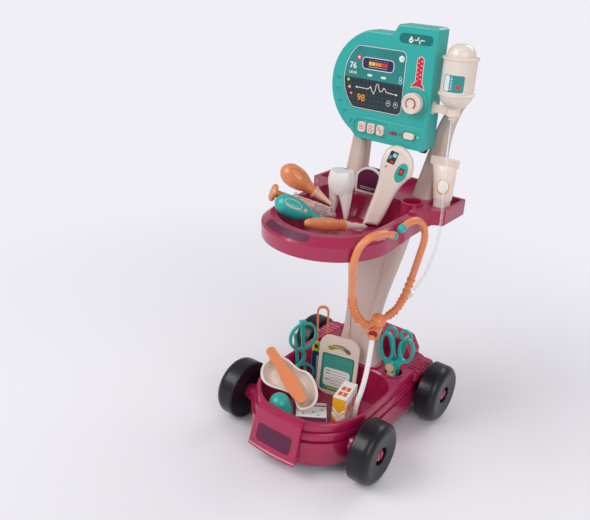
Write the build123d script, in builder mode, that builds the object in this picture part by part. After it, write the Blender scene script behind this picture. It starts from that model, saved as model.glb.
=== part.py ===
from build123d import *
import os
from math import asin, atan, cos, degrees, pi, radians, sin, sqrt, tan

os.makedirs("parts", exist_ok=True)

# A child's toy medical cart. Millimetres, +Z up, the front of the cart towards -Y.
# The origin lies on the floor, midway between the cart's sides and its front and back.

# Overall size and clearances
overall_depth = 298.0
wall = 2.5
fit_gap = 0.3
running_gap = 0.08

# Wheels and their stub axles
wheel_radius = 43.0
wheel_width = 30.0
wheel_inner_x = 97.5
wheelbase = 180.0
rear_axle_y = overall_depth / 2 - wheel_radius
front_axle_y = rear_axle_y - wheelbase
shoulder_round = 11.0
recess_radius = 12.5
recess_depth = 8.0
stub_radius = 8.0
stub_head_radius = 9.6
stub_head_length = 4.4
stub_slot = 3.0
stub_collar_radius = 11.0
spigot_radius = 6.0
spigot_length = 14.0

# Base tub
tub_bottom = 15.0
belt_height = 36.0
belt_top = 52.0
rim_height = 78.0
belt_radius = 90.5
rim_radius = 84.0
belt_centre_y = -47.0
rim_centre_y = -46.0
tub_rear_y = 140.0
tub_corner = 22.0
belt_draft = 3.5
ridge_count = 2
ridge_groove = 1.4
basket_floor = 22.0
basket_floor_radius = 71.0
basket_rim_radius = 80.0
basket_centre_y = -42.0
basket_rear_y = 44.0
basket_corner = 40.0
plate_thickness = 2.0

# Tool wells beside the column, and the raised housing behind it
well_x = 62.0
well_y = 59.0
well_radius = 13.0
well_floor = 26.0
housing_front_y = 106.0
housing_rear_y = 137.0
housing_top = 106.0
housing_half_width = 62.0
fender_x = 93.0
fender_front_y = 78.0
fender_rib_count = 5
fender_rib_pitch = 7.4
fender_rib_radius = 3.0

# Bumper panel clipped over the front rim
bumper_half_width = 38.5
bumper_bottom = 24.0
bumper_lip = 2.5
bumper_bow_radius = 313.0
label_width = 56.0
label_height = 25.0
label_depth = 0.8
label_z = 47.0
label_y = -141.4
label_tilt = atan(14.6 / 49.5)

# Column
column_foot = rim_height + 3.0
column_lean = 0.138
column_front_y = 43.0
column_corner = 9.0
foot_width = 70.0
foot_depth = 38.0
waist_rise = 30.0
waist_width = 56.0
waist_depth = 29.0
shoulder_rise = 169.0
shoulder_width = 84.0
shoulder_depth = 27.0
relief_depth = 2.2

# Upper tray
tray_bottom = 308.0
tray_crease = 326.0
tray_top = 335.0
tray_radius = 85.0
tray_centre_y = -45.0
tray_crease_radius = 83.5
tray_crease_centre_y = -48.5
tray_top_radius = 73.0
tray_rear_y = 128.0
waist_x = 80.0
waist_y = 30.0
bowl_floor = 303.0
bowl_floor_radius = 60.0
bowl_rim_radius = 68.0
bowl_centre_y = -42.0
bowl_rear_y = 60.0
bowl_corner = 26.0
wing_x = 104.0
wing_front_y = 64.0
wing_bottom = 318.0
wing_top = 338.0
column_top = wing_top - wall
pocket_depth = 7.0
cup_x = 57.0
cup_y = 60.0
cup_radius = 12.2
cup_floor = 324.0
cup_top = 341.0
lip_top = 350.0
ledge_height = 330.0
ledge_x = -14.0
ledge_width = 62.0
ledge_depth = 16.0
ledge_y = bowl_rear_y + 5.5
lip_half_width = 60.0

# Mast arms
mast_back_y = 106.3
arm_bend = 403.5
arm_top = 478.0
arm_foot_x = 55.0
arm_foot_width = 30.0
arm_foot_y = 85.0
arm_foot_depth = 27.0
arm_bend_x = 60.0
arm_tip_x = 88.0
arm_peg_width = 18.0
arm_peg_depth = 14.0
arm_peg_length = 5.0

# Heart monitor
panel_front_y = 76.0
panel_split_y = 92.0
panel_back_y = 106.0
panel_right_x = 57.0
panel_bottom = 403.5
panel_shoulder = 544.0
panel_top = 556.0
panel_corner = 4.0
panel_bevel = 2.6
dial_centre_x = -21.0
dial_centre_z = 474.5
dial_arc_radius = 72.5
tab_left_x = 1.2
screen_x = -19.0
screen_z = 483.0
screen_arc_radius = 55.5
screen_top = 525.3
screen_bottom = 442.5
screen_right_x = 18.0
screen_corner = 8.0
screen_depth = 1.4
screen_thickness = 1.2
console_top = 433.5
console_left_x = -53.0
console_rise = 2.0
button_x = (-37.4, -23.1, -8.9)
button_z = 420.0
button_width = 11.4
button_height = 13.6
button_travel = 2.0
button_recess = 1.2
button_flange = 1.5
button_face_y = 71.6
lamp_x = 10.75
slider_x = 34.1
slider_z = 420.6
slider_travel = 6.0
slider_width = 15.6
slider_height = 8.8
slider_recess = 1.4
tongue_width = 5.0
tongue_height = 4.0
tick_count = 5
tick_first = 176.0
tick_pitch = 14.5
tick_radius = 61.5
tick_length = 6.4
tick_width = 1.5
tick_rise = 0.7
header_x = 27.6
header_z = 540.1
header_width = 46.6
header_height = 12.7
print_depth = 0.7
knob_x = 35.5
knob_z = 463.8
knob_radius = 13.3
knob_reach = 11.3
bezel_radius = 18.7
bezel_rise = 1.5
flute_count = 36
dial_shaft_radius = 3.5
dial_boss_y = 82.0
bulb_slot_width = 11.5
bulb_slot_top = 521.4
bulb_x = 37.1
bulb_z = 480.0
bulb_radius = 10.5

# Inside the monitor
screw_places = ((-62.0, 445.0), (-50.0, 528.0), (46.0, 547.0), (49.0, 443.0))
screw_radius = 1.3
screw_head_radius = 2.8
screw_seat_y = 98.0
boss_radius = 4.2
post_places = ((-46.0, 434.5), (-16.0, 434.5), (12.0, 434.5))
board_x = -3.0
board_y = 84.0
board_thickness = 1.6
board_width = 90.0
board_height = 30.0
battery_x = -14.0
battery_z = 471.0
battery_box_width = 52.0
battery_box_height = 31.0
battery_box_y = 89.0
box_wall = 1.8
cell_radius = 7.1
cell_length = 50.2
door_width = 58.0
door_height = 36.0
door_thickness = 1.8
speaker_x = 26.0
speaker_z = 514.0
speaker_radius = 16.0
grille_hole_radius = 1.2
monitor_clip_x = (-40.9, 49.8)
monitor_clip_width = 8.0

# Drip bottle, its bracket and its tube
bottle_x = 86.5
bottle_y = 84.0
bottle_radius = 20.5
bead_radius = 22.3
bead_low = 482.0
bead_high = 525.0
bottle_top = 541.0
bracket_top = 464.7
bracket_height = 10.0
neck_radius = 5.5
neck_end = 452.0
stopper_end = 446.0
tube_radius = 1.7


def facing(y):
    """A sketch plane across the cart at that depth, whose extrusions grow towards the front."""
    return Plane.XZ.offset(-y)


def nose_plan(height, radius, centre_y, rear_y, corner):
    """A level outline with a round nose, straight sides and two rounded rear corners."""
    side_y = rear_y - corner
    inner = radius - corner
    bend = corner * sin(radians(45))
    with BuildSketch(Plane.XY.offset(height)) as plan:
        with BuildLine():
            ThreePointArc((radius, centre_y), (0, centre_y - radius), (-radius, centre_y))
            Line((-radius, centre_y), (-radius, side_y))
            ThreePointArc((-radius, side_y), (-inner - bend, side_y + bend), (-inner, rear_y))
            Line((-inner, rear_y), (inner, rear_y))
            ThreePointArc((inner, rear_y), (inner + bend, side_y + bend), (radius, side_y))
            Line((radius, side_y), (radius, centre_y))
        make_face()
    return plan.sketch


# Wheels: a smooth tread, one big rounded shoulder and a round recess for the hub
wheel_places = (
    ("front_right", 1, front_axle_y),
    ("front_left", -1, front_axle_y),
    ("rear_right", 1, rear_axle_y),
    ("rear_left", -1, rear_axle_y),
)
web_x = wheel_width - recess_depth
shoulder_start = wheel_width - shoulder_round
face_edge = wheel_radius - shoulder_round
shoulder_bend = shoulder_round * sin(radians(45))
for place, side, axle_y in wheel_places:
    with BuildPart() as wheel:
        inner_face = (side * wheel_inner_x, axle_y, wheel_radius)
        with BuildSketch(Plane(origin=inner_face, x_dir=(side, 0, 0), z_dir=(0, -side, 0))):
            with BuildLine():
                bore = stub_radius + running_gap
                Polyline((0, bore), (0, wheel_radius - 2.0), (2.0, wheel_radius), (shoulder_start, wheel_radius))
                ThreePointArc(
                    (shoulder_start, wheel_radius),
                    (shoulder_start + shoulder_bend, face_edge + shoulder_bend),
                    (wheel_width, face_edge),
                )
                ThreePointArc(
                    (wheel_width, face_edge),
                    (wheel_width - 0.9, (face_edge + recess_radius) / 2),
                    (wheel_width - 1.5, recess_radius + 1.2),
                )
                ThreePointArc(
                    (wheel_width - 1.5, recess_radius + 1.2),
                    (wheel_width - 2.0, recess_radius + 0.35),
                    (wheel_width - 3.0, recess_radius),
                )
                Polyline((wheel_width - 3.0, recess_radius), (web_x, recess_radius), (web_x, bore), (0, bore))
            make_face()
        revolve(axis=Axis((0, axle_y, wheel_radius), (1, 0, 0)))
    wheel.part.label = f"wheel_{place}"
    export_step(wheel.part, f"parts/wheel_{place}.step")

# Stub axles: each has a spigot in the tub, a collar, a journal and a split snap head
with BuildPart() as stub_axles:
    for place, side, axle_y in wheel_places:
        collar_x = belt_radius + fit_gap
        journal_x = wheel_inner_x - fit_gap
        head_x = wheel_inner_x + web_x + fit_gap
        with BuildSketch(Plane(origin=(0, axle_y, wheel_radius), x_dir=(side, 0, 0), z_dir=(0, -side, 0))):
            with BuildLine():
                Polyline(
                    (collar_x - spigot_length, 0),
                    (collar_x - spigot_length, spigot_radius - 0.8),
                    (collar_x - spigot_length + 0.8, spigot_radius),
                    (collar_x, spigot_radius),
                    (collar_x, stub_collar_radius),
                    (journal_x, stub_collar_radius),
                    (journal_x, stub_radius),
                    (head_x, stub_radius),
                    (head_x, stub_head_radius),
                    (head_x + stub_head_length - 1.6, stub_head_radius - 0.9),
                    (head_x + stub_head_length, stub_head_radius - 3.0),
                    (head_x + stub_head_length, 0),
                    close=True,
                )
            make_face()
        revolve(axis=Axis((0, axle_y, wheel_radius), (1, 0, 0)))
        slot_x = side * (head_x + stub_head_length - 5.0)
        with Locations((slot_x, axle_y, wheel_radius)):
            Box(10.0 + fit_gap, stub_slot, 3 * stub_head_radius, mode=Mode.SUBTRACT)
stub_axles.part.label = "stub_axles"
export_step(stub_axles.part, "parts/stub_axles.step")

# The space inside the tub: below the deck and around the basket, with the bosses left standing
bottom_radius = belt_radius - belt_draft
with BuildPart() as under_space:
    inner_corner = tub_corner - wall
    loft([
        nose_plan(tub_bottom - 1.0, bottom_radius - wall, belt_centre_y, tub_rear_y - wall, inner_corner),
        nose_plan(belt_height, belt_radius - wall, belt_centre_y, tub_rear_y - wall, inner_corner),
        nose_plan(rim_height - wall, rim_radius - 2.0 - wall, rim_centre_y, tub_rear_y - 4.0 - wall, inner_corner),
    ])
    loft([
        nose_plan(basket_floor - wall, basket_floor_radius + wall, basket_centre_y, basket_rear_y - 3.0 + wall,
                  basket_corner - 6.0 + wall),
        nose_plan(rim_height + 1.0, basket_rim_radius + wall, basket_centre_y, basket_rear_y + wall,
                  basket_corner + wall),
    ], mode=Mode.SUBTRACT)
    with Locations((well_x, well_y, well_floor - wall), (-well_x, well_y, well_floor - wall)):
        Cylinder(well_radius + wall, rim_height, align=(Align.CENTER, Align.CENTER, Align.MIN), mode=Mode.SUBTRACT)
    for place, side, axle_y in wheel_places:
        with Locations(Location((side * (belt_radius - 10.0), axle_y, wheel_radius), (0, 90, 0))):
            Cylinder(spigot_radius + wall + 1.0, 24.0, mode=Mode.SUBTRACT)

# Base tub: round belted nose, stepped ridges up to the rim, deck, wells and fenders
with BuildPart() as base_tub:
    loft([
        nose_plan(tub_bottom, bottom_radius, belt_centre_y, tub_rear_y - 1.5, tub_corner),
        nose_plan(belt_height, belt_radius, belt_centre_y, tub_rear_y, tub_corner),
        nose_plan(belt_top, belt_radius - 0.8, belt_centre_y, tub_rear_y - 0.5, tub_corner),
    ])
    ridge_height = (rim_height - belt_top) / ridge_count
    for ridge in range(ridge_count):
        share = (ridge + 0.6) / ridge_count
        crest = belt_radius - 0.8 - (belt_radius - rim_radius - 0.8) * share
        centre = belt_centre_y + (rim_centre_y - belt_centre_y) * share
        rear = tub_rear_y - 1.0 - 3.0 * share
        low = belt_top + ridge * ridge_height
        loft([
            nose_plan(low, crest - ridge_groove, centre, rear - ridge_groove, tub_corner),
            nose_plan(low + 0.5 * ridge_height, crest, centre, rear, tub_corner),
            nose_plan(low + ridge_height, crest - 1.5 * ridge_groove, centre, rear - 1.5 * ridge_groove, tub_corner),
        ])
    # Fender shelves beside the rear wheels, with ribs across them
    for side in (1, -1):
        with BuildSketch(Plane.XY.offset(rim_height - 14.0)):
            with Locations((side * (fender_x - 14.0), (fender_front_y + tub_rear_y - 8.0) / 2)):
                RectangleRounded(28.0, tub_rear_y - 8.0 - fender_front_y, 9.0)
        extrude(amount=12.0)
        for rib in range(fender_rib_count):
            rib_y = fender_front_y + 9.0 + rib * fender_rib_pitch
            with BuildSketch(Plane.YZ.offset(side * (fender_x - 12.0))):
                with Locations((rib_y, rim_height - 1.2)):
                    Circle(fender_rib_radius)
            extrude(amount=10.4, both=True)
    # Housing behind the column
    with BuildSketch(facing(housing_rear_y)) as housing_face:
        with BuildLine():
            Polyline(
                (-housing_half_width, rim_height - wall),
                (-housing_half_width, rim_height + 8.0),
                (-housing_half_width + 12.0, housing_top),
                (housing_half_width - 12.0, housing_top),
                (housing_half_width, rim_height + 8.0),
                (housing_half_width, rim_height - wall),
                close=True,
            )
        make_face()
        fillet(housing_face.vertices().group_by(Axis.Y)[-1], 9.0)
    extrude(amount=housing_rear_y - housing_front_y)
    for place, side, axle_y in wheel_places:
        with Locations(Location((side * (belt_radius - 8.0), axle_y, wheel_radius), (0, 90, 0))):
            Cylinder(stub_collar_radius + 2.0, 16.0)
    # Raised pad under the column's foot, and rings around the two wells
    with BuildSketch(Plane.XY.offset(rim_height - wall)):
        with Locations((0, column_front_y + 19.0)):
            RectangleRounded(82.0, 48.0, 22.0)
    extrude(amount=wall + 2.7)
    with BuildSketch(Plane.XY.offset(rim_height - wall)):
        with Locations((well_x, well_y), (-well_x, well_y)):
            Circle(well_radius + wall)
    extrude(amount=wall + 1.5)
    # Basket
    loft([
        nose_plan(basket_floor, basket_floor_radius, basket_centre_y, basket_rear_y - 3.0, basket_corner - 6.0),
        nose_plan(rim_height + 0.5, basket_rim_radius, basket_centre_y, basket_rear_y, basket_corner),
    ], mode=Mode.SUBTRACT)
    loft([
        nose_plan(rim_height - 2.4, basket_rim_radius - 0.4, basket_centre_y, basket_rear_y - 0.4, basket_corner),
        nose_plan(rim_height + 0.5, basket_rim_radius + 1.6, basket_centre_y, basket_rear_y + 1.6, basket_corner),
    ], mode=Mode.SUBTRACT)
    add(under_space.part, mode=Mode.SUBTRACT)
    with BuildSketch(Plane.XY.offset(rim_height - 2 * wall)):
        with Locations((0, (housing_front_y + housing_rear_y) / 2)):
            Rectangle(2 * housing_half_width - 30.0, housing_rear_y - housing_front_y - 2 * wall)
    extrude(amount=housing_top - rim_height + wall, mode=Mode.SUBTRACT)
    with BuildSketch(Plane.XY.offset(well_floor)):
        with Locations((well_x, well_y), (-well_x, well_y)):
            Circle(well_radius)
    extrude(amount=rim_height, mode=Mode.SUBTRACT)
    for place, side, axle_y in wheel_places:
        with Locations(Location((side * (belt_radius - spigot_length / 2), axle_y, wheel_radius), (0, 90, 0))):
            Cylinder(spigot_radius + 0.1, spigot_length + 1.2, mode=Mode.SUBTRACT)
base_tub.part.label = "base_tub"
export_step(base_tub.part, "parts/base_tub.step")

# Chassis plate: closes the tub from below
with BuildPart() as chassis_plate:
    plate_rear_y = tub_rear_y - 1.5 - wall - fit_gap
    extrude(nose_plan(tub_bottom, bottom_radius - wall - fit_gap, belt_centre_y, plate_rear_y, tub_corner - wall),
            amount=plate_thickness)
    with GridLocations(110.0, 60.0, 2, 2):
        Cylinder(2.0, 6 * plate_thickness, mode=Mode.SUBTRACT)
chassis_plate.part.label = "chassis_plate"
export_step(chassis_plate.part, "parts/chassis_plate.step")

# Bumper panel: a nearly flat cover that hugs the nose and hooks over the rim
with BuildPart() as bumper_clearance:
    hug_radius = belt_radius + fit_gap
    extrude(nose_plan(0, hug_radius, belt_centre_y, tub_rear_y, tub_corner), amount=belt_top)
    loft([
        nose_plan(belt_top, hug_radius, belt_centre_y, tub_rear_y, tub_corner),
        nose_plan(rim_height + fit_gap, rim_radius + 1.6, rim_centre_y, tub_rear_y, tub_corner),
    ])

panel_lip_y = -overall_depth / 2
bow_axis_y = panel_lip_y + bumper_bow_radius
bow_angle = 2 * degrees(asin(bumper_half_width / bumper_bow_radius))
bow_start = Plane(origin=(0, bow_axis_y, 0), x_dir=(0, 1, 0), z_dir=(1, 0, 0)).rotated((0, 0, -bow_angle / 2))
bow_axis = Axis((0, bow_axis_y, 0), (0, 0, 1))
face_low = (-bumper_bow_radius + 1.6, bumper_bottom + bumper_lip + 1.6)
face_high = (-bumper_bow_radius + 16.2, rim_height - 2.0)
# A skin that follows the panel's bowed face, as deep as the label's recess
with BuildPart() as label_recess:
    with BuildSketch(bow_start):
        with BuildLine():
            Polyline(
                (face_low[0] - 1.0, face_low[1]),
                (face_high[0] - 1.0, face_high[1]),
                (face_high[0] + label_depth, face_high[1]),
                (face_low[0] + label_depth, face_low[1]),
                close=True,
            )
        make_face()
    revolve(axis=bow_axis, revolution_arc=bow_angle)
    with BuildSketch(Plane(origin=(0, label_y, label_z), x_dir=(1, 0, 0), z_dir=(0, -cos(label_tilt), sin(label_tilt)))):
        RectangleRounded(label_width, label_height, 5.0)
    extrude(amount=20.0, both=True, mode=Mode.INTERSECT)
with BuildPart() as bumper_panel:
    with BuildSketch(bow_start):
        with BuildLine():
            Polyline(
                (-bumper_bow_radius, bumper_bottom),
                (-bumper_bow_radius, bumper_bottom + bumper_lip),
                face_low,
                face_high,
                (-bumper_bow_radius + 18.6, rim_height + 2.2),
                (-bumper_bow_radius + 21.6, rim_height + 3.0),
                (-bumper_bow_radius + 28.0, rim_height + 3.0),
                (-bumper_bow_radius + 28.0, rim_height + fit_gap),
                (-bumper_bow_radius + 25.0, bumper_bottom),
                close=True,
            )
        make_face()
    revolve(axis=bow_axis, revolution_arc=bow_angle)
    add(bumper_clearance.part, mode=Mode.SUBTRACT)
    add(label_recess.part, mode=Mode.SUBTRACT)
bumper_panel.part.label = "bumper_panel"
export_step(bumper_panel.part, "parts/bumper_panel.step")

# Column: a leaning hollow post in two shells, flared at its foot and wider towards the tray
lean_angle = degrees(atan(column_lean))
column_rise = column_top - column_foot
post_sections = (
    (0.0, foot_width, foot_depth),
    (waist_rise, waist_width, waist_depth),
    (shoulder_rise, shoulder_width, shoulder_depth),
    (column_rise, shoulder_width + 6.0, shoulder_depth),
)


def post_plan(rise, width, depth, inset):
    """A level section of the leaning column, inset from its skin."""
    centre_y = column_front_y + column_lean * rise + depth / 2
    with BuildSketch(Plane.XY.offset(column_foot + rise)) as plan:
        with Locations((0, centre_y)):
            RectangleRounded(width - 2 * inset, depth - 2 * inset, column_corner - 0.8 * inset)
    return plan.sketch


split_plane = Plane(
    origin=(0, column_front_y + 0.5 * waist_depth, column_foot),
    x_dir=(1, 0, 0),
    z_dir=(0, cos(radians(lean_angle)), -sin(radians(lean_angle))),
)
front_face = Plane(
    origin=(0, column_front_y, column_foot),
    x_dir=(1, 0, 0),
    z_dir=(0, -cos(radians(lean_angle)), sin(radians(lean_angle))),
)
with BuildPart() as post:
    loft([post_plan(rise, width, depth, 0.0) for rise, width, depth in post_sections])
    # A long U-shaped relief that widens upwards, and a small one under the tray
    with BuildSketch(front_face.offset(-relief_depth)) as relief:
        with BuildLine():
            Polyline((-30.0, column_rise + 8.0), (-22.0, 118.0), (-12.0, 42.0))
            ThreePointArc((-12.0, 42.0), (0, 27.0), (12.0, 42.0))
            Polyline((12.0, 42.0), (22.0, 118.0), (30.0, column_rise + 8.0), (-30.0, column_rise + 8.0))
        make_face()
    extrude(amount=6.0, mode=Mode.SUBTRACT)
with BuildPart() as post_core:
    loft([post_plan(rise, width, depth, wall) for rise, width, depth in post_sections])
    with BuildSketch(front_face.offset(-relief_depth - wall)):
        with Locations((0, column_rise / 2)):
            Rectangle(2 * foot_width, 2 * column_rise)
    extrude(amount=20.0, mode=Mode.SUBTRACT)
with BuildPart() as column_front:
    add(post.part)
    add(post_core.part, mode=Mode.SUBTRACT)
    split(bisect_by=split_plane, keep=Keep.BOTTOM)
column_front.part.label = "column_front"
export_step(column_front.part, "parts/column_front.step")
with BuildPart() as column_rear:
    add(post.part)
    add(post_core.part, mode=Mode.SUBTRACT)
    split(bisect_by=split_plane, keep=Keep.TOP)
column_rear.part.label = "column_rear"
export_step(column_rear.part, "parts/column_rear.step")


def tray_plan(height, radius, centre_y, inset):
    """A level outline of the tray: a round nose whose sides draw in to the waist."""
    side = waist_x - inset
    with BuildSketch(Plane.XY.offset(height)) as plan:
        with BuildLine():
            ThreePointArc((radius, centre_y), (0, centre_y - radius), (-radius, centre_y))
            Polyline((-radius, centre_y), (-side, waist_y), (-side, tray_rear_y - inset))
            Line((-side, tray_rear_y - inset), (side, tray_rear_y - inset))
            Polyline((side, tray_rear_y - inset), (side, waist_y), (radius, centre_y))
        make_face()
    return plan.sketch


def wing_plan(height, inset):
    """A level outline of the rear deck with its two wings."""
    side = waist_x - inset
    tip_x = wing_x - inset
    tip_y = wing_front_y + inset
    sweep_x = tip_x - 4.0
    sweep_y = tip_y - 3.0
    with BuildSketch(Plane.XY.offset(height)) as plan:
        with BuildLine():
            for hand in (1, -1):
                Line((0, waist_y), (hand * side, waist_y))
                TangentArc((hand * side, waist_y), (hand * sweep_x, sweep_y), tangent=(0, 1))
                ThreePointArc((hand * sweep_x, sweep_y), (hand * (tip_x - 0.6), tip_y - 0.6), (hand * tip_x, tip_y + 4.0))
                Line((hand * tip_x, tip_y + 4.0), (hand * tip_x, tray_rear_y - inset - 5.0))
                ThreePointArc(
                    (hand * tip_x, tray_rear_y - inset - 5.0),
                    (hand * (tip_x - 1.5), tray_rear_y - inset - 1.5),
                    (hand * (tip_x - 5.0), tray_rear_y - inset),
                )
                Line((hand * (tip_x - 5.0), tray_rear_y - inset), (0, tray_rear_y - inset))
        make_face()
    return plan.sketch


# Upper tray: a deep round bowl, a sloping shoulder, and a rear deck with rimmed wings
with BuildPart() as tray_space:
    loft([
        tray_plan(tray_bottom - 1.0, tray_radius - wall, tray_centre_y, wall),
        tray_plan(tray_crease - 1.0, tray_crease_radius - wall, tray_crease_centre_y, wall),
        tray_plan(tray_top - wall, tray_top_radius - wall, tray_crease_centre_y, wall),
    ], ruled=True)
    extrude(wing_plan(wing_bottom - 1.0, wall), amount=column_top - wing_bottom + 1.0)
    loft([
        nose_plan(bowl_floor - wall, bowl_floor_radius + wall, bowl_centre_y, bowl_rear_y - 15.0 + wall, bowl_corner),
        nose_plan(tray_top + 1.0, bowl_rim_radius + wall, bowl_centre_y, bowl_rear_y + wall, bowl_corner),
    ], mode=Mode.SUBTRACT)
    with Locations((cup_x, cup_y, bowl_floor)):
        Cylinder(cup_radius + wall, 50.0, align=(Align.CENTER, Align.CENTER, Align.MIN), mode=Mode.SUBTRACT)
    for hand in (1, -1):
        with Locations((hand * (wing_x - 19.0), (wing_front_y + tray_rear_y) / 2, wing_top)):
            Box(32.0, 60.0, 2 * (pocket_depth + wall), mode=Mode.SUBTRACT)
    with Locations((ledge_x, ledge_y, wing_top)):
        Box(ledge_width + 2 * wall, ledge_depth + 2 * wall, 2 * (wing_top - ledge_height + wall), mode=Mode.SUBTRACT)
with BuildPart() as upper_tray:
    loft([
        tray_plan(tray_bottom, tray_radius, tray_centre_y, 0.0),
        tray_plan(tray_crease, tray_crease_radius, tray_crease_centre_y, 0.0),
        tray_plan(tray_top, tray_top_radius, tray_crease_centre_y, 0.0),
    ], ruled=True)
    extrude(wing_plan(wing_bottom, 0.0), amount=wing_top - wing_bottom)
    # Raised lip along the rear edge
    with BuildSketch(facing(tray_rear_y)) as lip:
        with BuildLine():
            Polyline(
                (-lip_half_width - 14.0, wing_top - wall),
                (-lip_half_width, lip_top),
                (lip_half_width, lip_top),
                (lip_half_width + 14.0, wing_top - wall),
                close=True,
            )
        make_face()
        fillet(lip.vertices().group_by(Axis.Y)[-1], 8.0)
    extrude(amount=5.0)
    loft([
        nose_plan(bowl_floor - wall, bowl_floor_radius + wall, bowl_centre_y, bowl_rear_y - 15.0 + wall, bowl_corner),
        nose_plan(tray_bottom + 4.0, bowl_floor_radius + wall + 2.0, bowl_centre_y, bowl_rear_y - 12.0 + wall,
                  bowl_corner),
    ])
    loft([
        nose_plan(bowl_floor, bowl_floor_radius, bowl_centre_y, bowl_rear_y - 15.0, bowl_corner),
        nose_plan(tray_top, bowl_rim_radius, bowl_centre_y, bowl_rear_y, bowl_corner),
        nose_plan(wing_top + 1.0, bowl_rim_radius + 1.0, bowl_centre_y, bowl_rear_y + 1.0, bowl_corner),
    ], mode=Mode.SUBTRACT)
    add(tray_space.part, mode=Mode.SUBTRACT)
    with Locations((cup_x, cup_y, bowl_floor - wall)):
        Cylinder(cup_radius + wall, cup_top - bowl_floor + wall, align=(Align.CENTER, Align.CENTER, Align.MIN))
    with Locations((cup_x, cup_y, cup_floor)):
        Cylinder(cup_radius, cup_top, align=(Align.CENTER, Align.CENTER, Align.MIN), mode=Mode.SUBTRACT)
    with BuildSketch(Plane.XY.offset(wing_top - pocket_depth)):
        for hand in (1, -1):
            with Locations((hand * (wing_x - 18.5), (wing_front_y + tray_rear_y) / 2 + 1.0)):
                RectangleRounded(27.0, 53.0, 5.0)
    extrude(amount=pocket_depth + 1.0, mode=Mode.SUBTRACT)
    # A low step behind the bowl, where the badge stands
    with BuildSketch(Plane.XY.offset(ledge_height)):
        with Locations((ledge_x, ledge_y)):
            RectangleRounded(ledge_width, ledge_depth, 4.0)
    extrude(amount=wing_top, mode=Mode.SUBTRACT)
    with BuildSketch(Plane.XY.offset(wing_top - arm_peg_length - 1.0)):
        with Locations(*((hand * arm_foot_x, arm_foot_y + arm_foot_depth / 2) for hand in (1, -1))):
            Rectangle(arm_peg_width + 2 * fit_gap, arm_peg_depth + 2 * fit_gap)
    extrude(amount=arm_peg_length + 2.0, mode=Mode.SUBTRACT)
upper_tray.part.label = "upper_tray"
export_step(upper_tray.part, "parts/upper_tray.step")

# Mast arms: they lean back from the tray, then stand behind the monitor and splay outwards


def arm_plan(hand, height, centre_x, width, front, depth):
    """A level section of one arm."""
    with BuildSketch(Plane.XY.offset(height)) as plan:
        with Locations((hand * centre_x, front + depth / 2)):
            RectangleRounded(width, depth, 0.36 * depth)
    return plan.sketch


for name, hand in (("mast_arm_right", 1), ("mast_arm_left", -1)):
    with BuildPart() as mast_arm:
        loft([
            arm_plan(hand, wing_top, arm_foot_x, arm_foot_width, arm_foot_y, arm_foot_depth),
            arm_plan(hand, arm_bend, arm_bend_x, 24.0, mast_back_y, 22.0),
        ])
        loft([
            arm_plan(hand, arm_bend, arm_bend_x, 24.0, mast_back_y, 22.0),
            arm_plan(hand, arm_bend + 42.0, arm_bend_x + 10.0, 20.0, mast_back_y + 1.8, 17.0),
            arm_plan(hand, arm_top, arm_tip_x, 18.0, mast_back_y + 4.7, 10.0),
        ])
        with BuildSketch(Plane.XY.offset(wing_top - arm_peg_length)):
            with Locations((hand * arm_foot_x, arm_foot_y + arm_foot_depth / 2)):
                Rectangle(arm_peg_width, arm_peg_depth)
        extrude(amount=arm_peg_length + 2.0)
    mast_arm.part.label = name
    export_step(mast_arm.part, f"parts/{name}.step")


def monitor_outline(depth_y, inset):
    """The monitor's outline: a round left side, a raised tab at the top right."""
    top_reach = sqrt(dial_arc_radius ** 2 - (panel_shoulder - dial_centre_z) ** 2)
    low_z = panel_bottom + 8.5
    low_reach = sqrt(dial_arc_radius ** 2 - (dial_centre_z - low_z) ** 2)
    with BuildSketch(facing(depth_y)) as outline:
        with BuildLine():
            ThreePointArc(
                (dial_centre_x - top_reach, panel_shoulder),
                (dial_centre_x - dial_arc_radius, dial_centre_z),
                (dial_centre_x - low_reach, low_z),
            )
            Polyline(
                (dial_centre_x - low_reach, low_z),
                (dial_centre_x - low_reach + 8.5, panel_bottom),
                (panel_right_x, panel_bottom),
                (panel_right_x, panel_top),
                (tab_left_x, panel_top),
                (tab_left_x - 6.8, panel_shoulder),
                (dial_centre_x - top_reach, panel_shoulder),
            )
        make_face()
        fillet(outline.vertices(), panel_corner)
        if inset > 0:
            offset(amount=-inset, kind=Kind.INTERSECTION, mode=Mode.REPLACE)
    return outline.sketch


def screen_outline(depth_y, inset):
    """The screen window's outline: straight but for its round left side."""
    top_reach = sqrt(screen_arc_radius ** 2 - (screen_top - screen_z) ** 2)
    low_reach = sqrt(screen_arc_radius ** 2 - (screen_z - screen_bottom) ** 2)
    with BuildSketch(facing(depth_y)) as outline:
        with BuildLine():
            ThreePointArc(
                (screen_x - top_reach, screen_top),
                (screen_x - screen_arc_radius, screen_z),
                (screen_x - low_reach, screen_bottom),
            )
            Polyline(
                (screen_x - low_reach, screen_bottom),
                (screen_right_x, screen_bottom),
                (screen_right_x, screen_top),
                (screen_x - top_reach, screen_top),
            )
        make_face()
        fillet(outline.vertices(), screen_corner)
        if inset > 0:
            offset(amount=-inset, mode=Mode.REPLACE)
    return outline.sketch


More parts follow.
